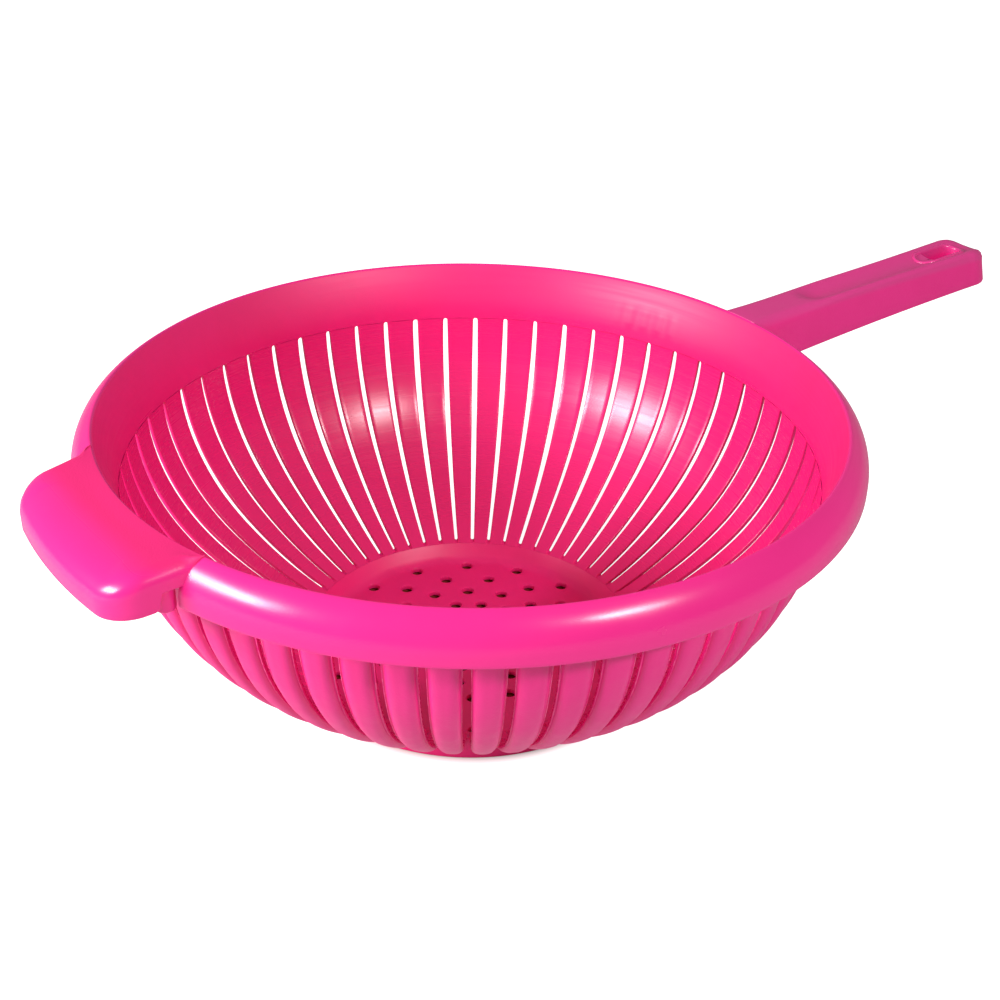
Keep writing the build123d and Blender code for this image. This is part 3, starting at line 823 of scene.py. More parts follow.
class COLANDER_OT_grip(bpy.types.Operator):
    """Build the front grip and the two posts under it"""

    bl_idname = "colander.grip"
    bl_label = "Front grip"

    # Points along the outline, closer together near the rim
    side_points = 18
    side_power = 1.2
    corner_points = 14
    front_points = 17

    # Rows of a skin: over the top, round the shoulder in degrees, and down the wall
    top_shares = (0.0, 0.04, 0.1, 0.18, 0.28, 0.4, 0.55, 0.7, 0.85, 1.0)
    shoulder_turns = (15.0, 30.0, 45.0, 60.0, 75.0, 90.0)
    wall_shares = (0.25, 0.5, 0.75)

    # The shoulder at the rim and inside, as shares, and how far the crest's height and the notch fade
    least_shoulder = 0.1
    inner_softness = 0.55
    crest_blend = 0.005
    notch_end = 0.0016

    # A post's sides and the turns of its lower edge, and its distance below the top
    post_sides = 40
    post_turns = (90.0, 60.0, 30.0, 0.0)
    post_gap = 0.0002

    def execute(self, context):
        bowl, rim, grip = sizes(context, "bowl", "rim", "grip")
        shape = self.block(bowl, rim, grip)
        add_piece("front_grip", shape, (grip_plastic(context),), ("front_grip",))
        posts = join_shapes(self.post(grip, 1.0), self.post(grip, -1.0))
        add_piece("grip_posts", posts, (rim_plastic(context, "post_plastic", duller=0.08),), ("grip_posts",))
        return {"FINISHED"}

    def outline(self, rim, grip, inset):
        """Plan of the grip from one root round the front to the other, and its outward directions.

        Each side is a straight line, each corner an arc that touches it, and the front a wide arc.
        An inset moves the whole line inward along its own directions.
        """
        bulge = grip.reach - grip.corner_reach
        front_radius = (grip.end_half**2 + bulge**2) / (2.0 * bulge)
        front_centre = grip.reach - front_radius
        run = grip.corner_reach - grip.root_reach
        fall = grip.root_half - grip.end_half
        stretch = math.hypot(run, fall)
        side_normal = np.array([fall / stretch, run / stretch])
        root = np.array([grip.root_reach, grip.root_half])
        along = np.array([run / stretch, -fall / stretch])
        base_point = root - side_normal * grip.corner
        offset = base_point - np.array([front_centre, 0.0])
        inner_radius = front_radius - grip.corner
        middle = float(offset @ along)
        reach = -middle + math.sqrt(middle**2 - float(offset @ offset) + inner_radius**2)
        centre = base_point + along * reach
        front_turn = math.atan2(centre[1], centre[0] - front_centre)
        side_turn = math.atan2(side_normal[1], side_normal[0])
        start_reach = math.sqrt(rim.cover_radius**2 - grip.root_half**2)
        start = np.array([start_reach, grip_side(grip, start_reach)])
        tangent = centre + side_normal * grip.corner
        mix = np.linspace(0.0, 1.0, self.side_points + 1)[:-1, None] ** self.side_power
        side_line = start + (tangent - start) * mix
        corner_turns = np.linspace(side_turn, front_turn, self.corner_points + 1)[:-1]
        corner_line = centre + grip.corner * np.stack([np.cos(corner_turns), np.sin(corner_turns)], axis=-1)
        front_turns = np.linspace(front_turn, 0.0, self.front_points)
        front_line = np.stack(
            [front_centre + front_radius * np.cos(front_turns), front_radius * np.sin(front_turns)], axis=-1
        )
        line = np.concatenate([side_line, corner_line, front_line])
        turns = np.concatenate([np.full(len(side_line), side_turn), corner_turns, front_turns])
        normal = np.stack([np.cos(turns), np.sin(turns)], axis=-1)
        line = np.concatenate([line, line[-2::-1] * [1.0, -1.0]]) * [-1.0, 1.0]
        normal = np.concatenate([normal, normal[-2::-1] * [1.0, -1.0]]) * [-1.0, 1.0]
        return line - normal * inset, normal

    def skin(self, bowl, rim, grip, inset, start, soften):
        """One skin of the grip, from the crest over the top, round the shoulder and down the wall.

        Every column is a straight line in plan, from the crest's circle to the outline's shoulder. The
        shoulder is a quarter ellipse, wide and soft at the front and tighter along the sides.
        """
        line, normal = self.outline(rim, grip, inset)
        facing = normal[:, 0] ** 2
        beyond = np.hypot(line[:, 0], line[:, 1]) - grip.fade_radius
        grown = self.least_shoulder + (1.0 - self.least_shoulder) * smooth_step(beyond / grip.fade_width)
        reach = soften * grown * (grip.side_shoulder + (grip.front_reach - grip.side_shoulder) * facing)
        drop = soften * grown * (grip.side_shoulder + (grip.front_drop - grip.side_shoulder) * facing)
        slope = (grip.root_top - grip.end_top) / (grip.reach - grip.root_reach)
        under = (grip.root_bottom - grip.end_bottom) / (grip.reach - grip.root_reach)
        start_radius, start_height = start
        half = grip_side(grip, grip.root_reach) - inset - reach[0]
        widest = math.asin(half / start_radius)
        travel = np.concatenate([[0.0], np.cumsum(np.linalg.norm(np.diff(line, axis=0), axis=-1))])
        crest_turn = math.pi - widest + 2.0 * widest * travel / travel[-1]
        crest = start_radius * np.stack([np.cos(crest_turn), np.sin(crest_turn)], axis=-1)
        shoulder = line - normal * reach[:, None]
        mix = np.array(self.top_shares)[None, :, None]
        top = crest[:, None] + (shoulder - crest)[:, None] * mix
        level = grip.root_top + slope * (top[..., 0] + grip.root_reach) - inset
        away = np.linalg.norm(top - crest[:, None], axis=-1)
        level = level + (start_height - level[:, :1]) * (1.0 - smooth_step(away / self.crest_blend))
        turn = np.radians(self.shoulder_turns)
        bend = line[:, None] - normal[:, None] * (reach[:, None] * (1.0 - np.sin(turn)))[..., None]
        edge_level = grip.root_top + slope * (bend[..., 0] + grip.root_reach) - inset
        bend_level = edge_level - drop[:, None] * (1.0 - np.cos(turn))
        past_notch = -line[:, 0] - grip.notch_reach
        notch = grip.notch_height * (1.0 - smooth_step(past_notch / self.notch_end))
        low = grip.root_bottom + under * (line[:, 0] + grip.root_reach) + notch
        fall = np.array(self.wall_shares)
        gap = bend_level[:, -1] - low - grip.edge
        wall_level = bend_level[:, -1:] - gap[:, None] * fall
        wall = np.broadcast_to(line[:, None], (len(line), len(fall), 2))
        outward = -1.0 if inset else 1.0
        lower_edge = grip.edge * np.array([0.0, MIDWAY, 1.0])
        last = line[:, None] - outward * normal[:, None] * lower_edge[:, None]
        last_level = low[:, None] + lower_edge[::-1]
        flat = np.concatenate([top, bend, wall, last], axis=1)
        height = np.concatenate([level, bend_level, wall_level, last_level], axis=1)
        below = np.arange(flat.shape[1]) >= len(self.top_shares) + len(self.shoulder_turns) - 1
        for end in (0, -1):
            face = collar_face(bowl, rim, height[end])
            inward = -np.sqrt(face**2 - flat[end, :, 1] ** 2)
            flat[end, :, 0] = np.where(below, np.maximum(flat[end, :, 0], inward), flat[end, :, 0])
        return np.concatenate([flat, height[..., None]], axis=-1)

    def block(self, bowl, rim, grip):
        """Outer and inner skins, joined along the crest, the lower edge and both roots."""
        passing = joint_turn(rim, rim.cover_radius)
        outer = self.skin(bowl, rim, grip, 0.0, roll_point(rim, passing), 1.0)
        start = roll_point(rim, passing, rim.thickness)
        inner = self.skin(bowl, rim, grip, grip.wall, start, self.inner_softness)
        loop = np.concatenate([outer, inner[:, ::-1]], axis=1)
        return loop.reshape(-1, 3), closed_quads(*loop.shape[:2])

    def post(self, grip, side):
        """A post: a straight side with a rounded lower end, turned about its own axis, with closed poles."""
        turn = np.radians(self.post_turns)
        slope = (grip.root_top - grip.end_top) / (grip.reach - grip.root_reach)
        level = grip.root_top - slope * (grip.post_reach - grip.root_reach)
        radius = np.concatenate(
            [[0.0], grip.post_radius - grip.post_edge * (1.0 - np.cos(turn)), [grip.post_radius, 0.0]]
        )
        top = level - grip.wall - self.post_gap
        height = np.concatenate(
            [[grip.post_bottom], grip.post_bottom + grip.post_edge * (1.0 - np.sin(turn)), [top, top]]
        )
        points = turned(radius, height, self.post_sides)
        points = points + [-grip.post_reach, side * grip.post_side, 0.0]
        return points, grid_quads(self.post_sides, len(radius), close_rows=True)


class COLANDER_OT_handle(bpy.types.Operator):
    """Build the handle with its thumb scoop, and the hanging eye through its end"""

    bl_idname = "colander.handle"
    bl_label = "Handle"

    # Stretches of stations along a side, each with its start, end and count, and the last stations:
    # 0 is at the rim, 1 where the tip begins and 2 at its middle
    stretches = ((-0.06, 0.26, 13), (0.26, 0.87, 13), (0.87, 1.0, 5), (1.0, 1.88, 14))
    last_stations = (1.88, 1.93, 1.97, 2.0)

    # Columns of a skin: up the side, round the top edge and across the top, the last two in degrees
    side_rows = (0.0, 0.0, 0.0, 0.3, 0.6, 0.82, 1.0)
    edge_turns = (18.0, 36.0, 54.0, 72.0, 90.0)
    top_turns = (26.0, 47.0, 65.0, 79.0, 90.0)

    # Where the root's edge ends and the tip's starts and is full, in shares along a side
    root_edge_end = 0.42
    tip_edge_start = 0.9
    tip_edge_run = 0.7
    inner_edge = 0.0008

    # Where the outward directions begin to follow the tip's arc, and how fast
    lean_start = 0.97
    lean_run = 0.06
    least_lean = 0.5

    # Stations that pass from the crest to the handle, and how its height and columns blend
    root_stations = 6
    crest_blend = 0.0035
    root_columns = 3.0

    # The eye's cell in the grid, the shares of its rings, how far they run under the tube's lip, and
    # the sine below which a direction counts as straight along the eye
    eye_first = 26
    eye_last = 46
    eye_columns = 3
    eye_shares = (0.35, 0.7, 1.0)
    eye_overlap = 0.0002
    least_sine = 1e-9

    # Steps round the tube, turns over its lip in degrees, and where the lip springs below the top
    tube_steps = 96
    lip_turns = (0.0, 30.0, 60.0, 90.0, 120.0, 150.0, 180.0)
    lip_drop = 0.0004

    def execute(self, context):
        bowl, rim, handle = sizes(context, "bowl", "rim", "handle")
        outer, eye_above = self.skin(bowl, rim, handle, 0.0)
        inner, eye_below = self.skin(bowl, rim, handle, handle.wall)
        shape = self.close(outer, inner, eye_above, eye_below)
        add_piece("handle_shell", shape, (handle_plastic(context),), ("handle_shell",), crease=45.0)
        add_piece(
            "hanging_eye",
            self.tube(rim, handle),
            (handle_plastic(context, "eye_plastic", duller=-0.2),),
            ("hanging_eye",),
            crease=50.0,
        )
        return {"FINISHED"}

    def top_height(self, rim, handle, reach):
        """Height of the plane along the top, which climbs from the crest to the tip."""
        climb = (handle.tip_top - rim.crest_height) / (handle.tip_reach - rim.crest_radius)
        return rim.crest_height + climb * (reach - rim.crest_radius)

    def bottom_height(self, rim, handle, reach):
        """Height of the lower edge, which climbs from the crest to the tip."""
        climb = (handle.tip_bottom - handle.root_bottom) / (handle.tip_reach - rim.crest_radius)
        return handle.root_bottom + climb * (reach - rim.crest_radius)

    def scooped(self, rim, handle, reach, side):
        """Height of the top: the plane less a round-bottomed scoop whose start is part of a ball."""
        before = np.maximum(handle.scoop_start - reach, 0.0)
        inside = np.maximum(handle.scoop_radius**2 - side**2 - before**2, 0.0)
        depth = np.sqrt(inside) - (handle.scoop_radius - handle.scoop_depth)
        soft = 0.5 * (depth + np.sqrt(depth**2 + handle.scoop_edge**2))
        return self.top_height(rim, handle, reach) - soft

    def outline(self, handle, along, height_share, inset):
        """One side of the handle in plan at a share of its draft and rake.

        Up to the tip the half width is the circle through root, waist and end, and the tip is the arc
        from the end to the middle. Directions point outward.
        """
        narrowing = inset + handle.draft * height_share
        root = handle.root_half - narrowing
        waist = handle.waist_half - narrowing
        end = handle.end_half - narrowing
        end_reach = handle.end_reach - handle.rake * height_share
        tip_reach = handle.tip_reach - inset - handle.rake * height_share
        point = np.array([handle.root_reach, handle.waist_reach])
        first = (waist - root) / (point[1] - point[0])
        second = ((end - waist) / (end_reach - point[1]) - first) / (end_reach - point[0])
        reach = handle.root_reach + (end_reach - handle.root_reach) * np.minimum(along, 1.0)
        half = root + first * (reach - point[0]) + second * (reach - point[0]) * (reach - point[1])
        slope = first + second * (2.0 * reach - point[0] - point[1])
        lean = np.arctan2(1.0, -slope)
        depth = tip_reach - end_reach
        tip_radius = (end**2 + depth**2) / (2.0 * depth)
        tip_centre = tip_reach - tip_radius
        full = np.arctan2(end, end_reach - tip_centre)
        turn = full * np.clip(2.0 - along, 0.0, 1.0)
        at_tip = along > 1.0
        reach = np.where(at_tip, tip_centre + tip_radius * np.cos(turn), reach)
        half = np.where(at_tip, tip_radius * np.sin(turn), half)
        blend = np.maximum(smooth_step((along - self.lean_start) / self.lean_run), self.least_lean)
        lean = lean + np.where(at_tip, (turn - lean) * blend, 0.0)
        return reach, half, np.cos(lean), np.sin(lean)

    def skin(self, bowl, rim, handle, inset):
        """One skin of the handle, from a lower edge up the side, over the top and down again.

        The sides are straight between the lower and upper outlines. The top edge is a quarter circle
        across the outline, and lines straight across the handle carry the scoop.
        """
        runs = [np.linspace(start, end, steps, endpoint=False) for start, end, steps in self.stretches]
        along = np.concatenate([*runs, self.last_stations])[:, None]
        rows = np.array(self.side_rows)[None, :]
        foot = handle.lower_edge * np.array([0.0, MIDWAY, 1.0] + [0.0] * (len(self.side_rows) - 3))
        fading = 1.0 - smooth_step(along / self.root_edge_end)
        growing = smooth_step((along - self.tip_edge_start) / self.tip_edge_run)
        edge = handle.edge + (handle.root_edge - handle.edge) * fading
        edge = edge + (handle.tip_edge - handle.edge) * growing
        edge = np.full(along.shape, self.inner_edge) if inset else edge
        roof = rim.crest_height - handle.roof
        height_share = rows + along * 0.0
        for _ in range(SETTLING_ROUNDS):
            reach, half, _, _ = self.outline(handle, along, height_share, inset)
            low = self.bottom_height(rim, handle, reach)
            high = self.top_height(rim, handle, reach) - edge if not inset else roof - edge
            level = low + foot + (high - low) * rows
            height_share = handle_share(handle, level)
        reach, half, lean_cos, lean_sin = self.outline(handle, along, height_share, inset)
        outward = -1.0 if inset else 1.0
        tight = outward * handle.lower_edge * np.array([1.0, MIDWAY] + [0.0] * (len(self.side_rows) - 2))
        reach = reach - tight * lean_cos
        half = half - tight * lean_sin
        turn = np.radians(self.edge_turns)
        cut = edge * (1.0 - np.cos(turn))
        edge_reach = reach[:, -1:] - cut * lean_cos[:, -1:]
        edge_half = np.maximum(half[:, -1:] - cut * lean_sin[:, -1:], 0.0)
        if inset:
            top_level = np.full(edge_reach.shape, roof)
        else:
            top_level = self.scooped(rim, handle, edge_reach, edge_half)
        edge_level = top_level - edge * (1.0 - np.sin(turn))
        across = np.cos(np.radians(self.top_turns))
        line = edge_half[:, -1:] * across
        line_reach = edge_reach[:, -1:] + line * 0.0
        line_level = np.full(line.shape, roof) if inset else self.scooped(rim, handle, line_reach, line)
        reach = np.concatenate([reach, edge_reach, line_reach], axis=1)
        half = np.concatenate([half, edge_half, line], axis=1)
        level = np.concatenate([level, edge_level, line_level], axis=1)
        reach, half, level = (
            np.concatenate([part, sign * part[:, -2::-1]], axis=1)
            for part, sign in ((reach, 1.0), (half, -1.0), (level, 1.0))
        )
        reach, level = self.root(bowl, rim, reach, half, level, inset)
        grid = np.stack([reach, half, level], axis=-1)
        return grid, self.eye_patch(rim, handle, grid, inset, roof)

    def root(self, bowl, rim, reach, half, level, inset):
        """Brings the first stations back to the collar's outer face and the crest.

        Below the roll the skin starts just inside the collar's outer face, and above it on the circle
        where the crest ends. The next stations pass evenly from there to straight lines across.
        """
        blend = self.root_stations
        passing = joint_turn(rim, rim.cover_radius)
        crest_radius, crest_height = roll_point(rim, passing, rim.thickness if inset else 0.0)
        face = collar_face(bowl, rim, level[0])
        columns = level.shape[1]
        middle = np.abs(np.arange(columns) - columns // 2)
        edge_column = len(self.top_turns)
        top = middle <= edge_column
        start_radius = np.where(top, crest_radius, np.minimum(face, crest_radius))
        start_reach = np.sqrt(start_radius**2 - half[0] ** 2)
        mix = np.linspace(0.0, 1.0, blend + 1)[:-1, None]
        target = reach[blend]
        reach[:blend] = start_reach + (target - start_reach) * mix
        first = level[: blend + 2]
        lift = smooth_step((reach[: blend + 2] - start_reach) / self.crest_blend)
        held = np.where(top, crest_height, first)
        near = np.clip(1.0 - (middle - edge_column) / self.root_columns, 0.0, 1.0)
        blended = held + (first - held) * lift
        level[: blend + 2] = first + (blended - first) * near
        return reach, level

    def eye_border(self, grid):
        """Points of the grid round the eye's cell, once round, and the cell's row and column limits."""
        middle = grid.shape[1] // 2
        first, last = middle - self.eye_columns, middle + self.eye_columns
        start, end = self.eye_first, self.eye_last
        near = [(row, first) for row in range(start, end)]
        tip = [(end, column) for column in range(first, last)]
        far = [(row, last) for row in range(end, start, -1)]
        root = [(start, column) for column in range(last, first, -1)]
        return np.array(near + tip + far + root), (start, end, first, last)

    def slot(self, handle, grow, turn):
        """Points of the eye's outline, two half circles and straight sides, by direction from its middle."""
        radius = handle.eye_width + grow
        straight = handle.eye_length - handle.eye_width
        cosine, sine = np.cos(turn), np.sin(turn)
        steep = np.abs(sine)
        side = np.where(steep > self.least_sine, radius / np.maximum(steep, self.least_sine), 1.0)
        offset = np.sign(cosine) * straight
        dot = offset * cosine
        ball = dot + np.sqrt(np.maximum(radius**2 - (offset * sine) ** 2, 0.0))
        distance = np.where(np.abs(side * cosine) <= straight, side, ball)
        return handle.eye_reach + distance * cosine, distance * sine

    def eye_patch(self, rim, handle, grid, inset, roof):
        """Rings of points from the eye's cell in the skin to the outline of the tube."""
        border, _ = self.eye_border(grid)
        edge = grid[border[:, 0], border[:, 1]]
        turn = np.arctan2(edge[:, 1], edge[:, 0] - handle.eye_reach)
        rings = []
        slot_reach, slot_side = self.slot(handle, handle.eye_wall - self.eye_overlap, turn)
        for mix in self.eye_shares:
            reach = edge[:, 0] + (slot_reach - edge[:, 0]) * mix
            side = edge[:, 1] + (slot_side - edge[:, 1]) * mix
            if inset:
                level = np.full(reach.shape, roof)
            else:
                level = self.scooped(rim, handle, reach, side)
            rings.append(np.stack([reach, side, level], axis=-1))
        return np.stack(rings)

    def close(self, outer, inner, above, below):
        """Both skins, joined along the lower edges, the root and the hole for the eye."""
        rows, columns = outer.shape[:2]
        border, (start, end, first, last) = self.eye_border(outer)
        quads = grid_quads(rows, columns)
        row, column = quads[:, 0] // columns, quads[:, 0] % columns
        hole = (row >= start) & (row < end) & (column >= first) & (column < last)
        skin = quads[~hole]
        size = rows * columns
        rim_index = border[:, 0] * columns + border[:, 1]
        ring = len(border)
        above_start = 2 * size
        below_start = above_start + len(above) * ring
        around = np.arange(ring)
        following = (around + 1) % ring

        def strip(one, two):
            return np.stack([one[around], one[following], two[following], two[around]], axis=-1)

        layers = [rim_index]
        layers += [above_start + layer * ring + around for layer in range(len(above))]
        layers += [below_start + layer * ring + around for layer in reversed(range(len(below)))]
        layers += [rim_index + size]
        strips = [strip(one, two) for one, two in zip(layers, layers[1:])]
        along = np.arange(rows - 1)
        lower = []
        for edge in (0, columns - 1):
            one = along * columns + edge
            two = (along + 1) * columns + edge
            lower.append(np.stack([one, two, two + size, one + size], axis=-1))
        across = np.arange(columns - 1)
        root = np.stack([across, across + 1, across + 1 + size, across + size], axis=-1)
        points = np.concatenate(
            [outer.reshape(-1, 3), inner.reshape(-1, 3), above.reshape(-1, 3), below.reshape(-1, 3)]
        )
        return points, np.concatenate([skin, skin + size, *strips, *lower, root])

    def tube(self, rim, handle):
        """The eye's tube: a wall section with a rounded lip carried round the eye's outline.

        Its upper edge follows the scoop and its lower edge the handle's.
        """
        turn = np.linspace(0.0, FULL_TURN, self.tube_steps, endpoint=False)[:, None]
        lip = np.radians(self.lip_turns)
        thick = handle.eye_wall
        grow = np.concatenate([[0.0, 0.0], 0.5 * thick * (1.0 - np.cos(lip)), [thick, thick], [0.5 * thick]])
        lift = np.concatenate([[0.0, 0.5], np.ones(len(lip)), [0.5, 0.0], [0.0]])
        bead = np.concatenate([[0.0, 0.0], np.sin(lip), [0.0, 0.0], [0.0]])
        reach, side = self.slot(handle, grow[None, :], turn)
        middle_reach, middle_side = self.slot(handle, 0.5 * thick, turn)
        top = self.scooped(rim, handle, middle_reach, middle_side)
        low = self.bottom_height(rim, handle, middle_reach)
        level = low + (top - self.lip_drop - low) * lift + (handle.eye_bead + self.lip_drop) * bead
        points = np.stack([reach, side, level], axis=-1)
        return points, grid_quads(self.tube_steps, len(grow), close_rows=True, close_columns=True)


class COLANDER_OT_ribs(bpy.types.Operator):
    """Give the ribs inside the handle their plastic"""

    bl_idname = "colander.ribs"
    bl_label = "Handle ribs"

    def execute(self, context):
        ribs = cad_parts["handle_ribs"]
        ribs.data.materials.clear()
        ribs.data.materials.append(handle_plastic(context, "rib_plastic", duller=0.05))
        return {"FINISHED"}


# Plastics


BLACK = (0.0, 0.0, 0.0, 1.0)
WHITE = (1.0, 1.0, 1.0, 1.0)
PLASTIC_IOR = 1.5

# Reaches and heights between which the grip's top turns from polished to finely textured, with painted shade
GRIP_TEXTURE_SHADE_REACH = (-0.131, -0.121)
GRIP_TEXTURE_SHADE_HEIGHT = (0.0945, 0.0962)

# Heights between which the inside turns shiny above the floor and dull again below the rim
WALL_SHINES = (0.007, 0.015)
COLLAR_DULLS = (0.076, 0.086)

# Heights in which the sink ripples come and go, and the angles of the handle's and grip's edges
RIPPLES_START = (0.0795, 0.083)
RIPPLES_END = (0.087, 0.091)
HANDLE_EDGE_TURN = 0.33
GRIP_EDGE_TURN = 2.86

# Heights between which the handle's top takes its painted pale sheen
HANDLE_SHEEN_HEIGHTS = (0.0948, 0.0972)


class Wire:
    """A shader socket whose arithmetic adds Math nodes to its own material."""

    def __init__(self, paint, socket):
        self.paint = paint
        self.socket = socket

    def __add__(self, other):
        return self.paint.maths("ADD", self, other)

    def __radd__(self, other):
        return self.paint.maths("ADD", other, self)

    def __sub__(self, other):
        return self.paint.maths("SUBTRACT", self, other)

    def __rsub__(self, other):
        return self.paint.maths("SUBTRACT", other, self)

    def __mul__(self, other):
        return self.paint.maths("MULTIPLY", self, other)

    def __rmul__(self, other):
        return self.paint.maths("MULTIPLY", other, self)


class Paint:
    """One procedural material or world, made from nodes added one at a time."""

    def __init__(self, owner):
        self.owner = owner
        owner.use_nodes = True
        self.tree = owner.node_tree
        self.tree.nodes.clear()

    def node(self, kind, settings=None, inputs=None, output=0):
        """Adds a node, sets it up, fills its sockets with values or links, and gives one output if any."""
        made = self.tree.nodes.new(kind)
        for name, value in (settings or {}).items():
            setattr(made, name, value)
        for name, value in (inputs or {}).items():
            if isinstance(value, Wire):
                self.tree.links.new(value.socket, made.inputs[name])
            else:
                made.inputs[name].default_value = value
        return Wire(self, made.outputs[output]) if made.outputs else None

    def maths(self, operation, *values):
        """A Math node on its values."""
        return self.node("ShaderNodeMath", {"operation": operation}, dict(enumerate(values)))

    def noise(self, vector, scale, detail=2.0, roughness=0.5):
        """Noise between 0 and 1 at a place."""
        return self.node(
            "ShaderNodeTexNoise",
            {"noise_dimensions": "3D"},
            {"Vector": vector, "Scale": scale, "Detail": detail, "Roughness": roughness},
        )

    def spread(self, value, low, high, new_low=0.0, new_high=1.0):
        """A value mapped smoothly from one span to another, and held at its ends."""
        return self.node(
            "ShaderNodeMapRange",
            {"interpolation_type": "SMOOTHSTEP"},
            {0: value, 1: low, 2: high, 3: new_low, 4: new_high},
        )

    def mix(self, factor, one, two):
        """A colour between two others."""
        return self.node("ShaderNodeMix", {"data_type": "RGBA"}, {0: factor, 6: one, 7: two}, 2)

    def spot(self):
        """Object coordinates."""
        return self.node("ShaderNodeTexCoord", output="Object")

    def parts(self, vector):
        """The three parts of a vector."""
        return [self.node("ShaderNodeSeparateXYZ", inputs={0: vector}, output=part) for part in range(3)]

    def from_axis(self, across, along):
        """Distance from the object's upright axis."""
        return self.maths("SQRT", across * across + along * along)

    def seen(self):
        """1 for rays from the camera, straight or through something clear, and 0 for all others."""
        straight = self.node("ShaderNodeLightPath", output="Is Camera Ray")
        through = self.node("ShaderNodeLightPath", output="Is Transmission Ray")
        return self.maths("MAXIMUM", straight, through)

    def bump(self, height, distance, strength, under=None):
        """A bump that follows a height, on top of another bump where one is given."""
        inputs = {"Height": height, "Distance": distance, "Strength": strength}
        if under is not None:
            inputs["Normal"] = under
        return self.node("ShaderNodeBump", inputs=inputs)

    def plastic(self, tint, roughness, normal):
        """Ends the material in a Principled shader of plastic."""
        inputs = {"Base Color": tint, "Roughness": roughness, "IOR": PLASTIC_IOR, "Normal": normal}
        return self.end(self.node("ShaderNodeBsdfPrincipled", inputs=inputs))

    def end(self, surface, kind="ShaderNodeOutputMaterial"):
        """Links a shader to the output, and gives the material or world."""
        self.node(kind, inputs={"Surface": surface})
        return self.owner


def shared(make):
    """Has a material made when its name is first asked for, and gives that one again afterwards."""

    def plastic(context, name=make.__name__, **changes):
        made = bpy.data.materials.get(name)
        if made is None:
            made = make(context.scene.colander_look, Paint(bpy.data.materials.new(name)), **changes)
        return made

    return plastic


def flow_colour(paint, spot, pink, deep, strength=1.0):
    """A pink that is a little deeper in broad soft flow marks left by the moulding."""
    broad = paint.noise(spot, scale=14.0, detail=3.0, roughness=0.55)
    fine = paint.noise(spot, scale=95.0)
    marks = paint.spread(0.7 * broad + 0.3 * fine, 0.22, 0.82, 0.0, strength)
    return paint.mix(marks, tuple(pink), tuple(deep))


def polish(look, paint, spot):
    """What the rim and the grip share: their colour, and the faint ripple of polished plastic."""
    ripple = paint.noise(spot, scale=85.0, detail=1.0, roughness=0.4)
    tint = flow_colour(paint, spot, look.outer, look.outer_deep, strength=0.6)
    return tint, paint.bump(ripple, distance=0.001, strength=0.05)


@shared
def rim_plastic(look, paint, duller=0.0):
    """Polished plastic: nearly smooth, with a faint ripple, fine dust pits and handling haze."""
    spot = paint.spot()
    tint, ripple = polish(look, paint, spot)
    haze = paint.spread(paint.noise(spot, scale=60.0, detail=4.0, roughness=0.6), 0.2, 0.85)
    pits = paint.noise(spot, scale=1500.0, roughness=0.6)
    roughness = look.rim_roughness + duller + 0.07 * haze
    return paint.plastic(tint, roughness, paint.bump(pits, distance=0.0002, strength=0.05, under=ripple))


@shared
def grip_plastic(look, paint):
    """Plastic of the grip: polished over the front, and finely textured and darkened by painted shade on the
    level top beside the rim.
    """
    spot = paint.spot()
    tint, ripple = polish(look, paint, spot)
    across, _, up = paint.parts(spot)
    edge = across + 0.004 * paint.noise(spot, scale=30.0)
    texture_and_shade = paint.spread(edge, *GRIP_TEXTURE_SHADE_REACH) * paint.spread(up, *GRIP_TEXTURE_SHADE_HEIGHT)
    grain = paint.noise(spot, scale=1500.0, detail=3.0, roughness=0.65)
    return paint.plastic(
        # Painted shade: the textured top is mixed toward the deep pink, darker as a top face that gets less
        # light
        paint.mix(texture_and_shade, tint, tuple(look.deep)),
        look.rim_roughness + 0.02 + 0.28 * texture_and_shade,
        paint.bump(grain * texture_and_shade, distance=0.0003, strength=0.3, under=ripple),
    )


@shared
def inside_plastic(look, paint):
    """Plastic inside the bowl: fine drag marks run level round it, with sink ripples near both roots.

    The collar and the floor's edge are duller than the slotted wall between them.
    """
    spot = paint.spot()
    across, along, up = paint.parts(spot)
    turn = paint.maths("ARCTAN2", along, across)
    lines = {0: turn * 2.2, 1: up * 700.0, 2: paint.from_axis(across, along) * 260.0}
    drag = paint.noise(paint.node("ShaderNodeCombineXYZ", inputs=lines), scale=1.0)
    wear_and_sheen = paint.spread(drag, 0.3, 0.75)
    dull = paint.maths("MAXIMUM", paint.spread(up, *COLLAR_DULLS), 1.0 - paint.spread(up, *WALL_SHINES))
    pits = paint.noise(spot, scale=1400.0, roughness=0.6)
    marks = paint.bump(drag, distance=0.0001, strength=0.008)
    sunk = paint.bump(sink_ripples(paint, turn, up), distance=0.0006, strength=0.3, under=marks)
    return paint.plastic(
        # Painted shade: the inside takes the redder inside pinks, a shaded copy of the outer plastic's colour
        flow_colour(paint, spot, look.pink, look.deep),
        look.inside_roughness - 0.03 + 0.07 * wear_and_sheen + 0.2 * dull,
        paint.bump(pits, distance=0.0002, strength=0.04, under=sunk),
    )


def sink_ripples(paint, turn, up):
    """Shallow upright ripples where thick roots behind the collar have shrunk."""

    def near(off, full, gone):
        """1 up to an angle off the edge, falling to 0 at a wider one."""
        return 1.0 - paint.spread(paint.maths("ABSOLUTE", off), full, gone)

    ripples = 0.5 + 0.5 * paint.maths("SINE", turn * 118.0 + up * 60.0)
    high = paint.spread(up, *RIPPLES_START) * (1.0 - paint.spread(up, *RIPPLES_END))
    at_handle = near(turn - HANDLE_EDGE_TURN, 0.07, 0.13)
    at_grip = near(paint.maths("ABSOLUTE", turn) - GRIP_EDGE_TURN, 0.03, 0.1)
    return ripples * high * paint.maths("MAXIMUM", at_handle, at_grip)


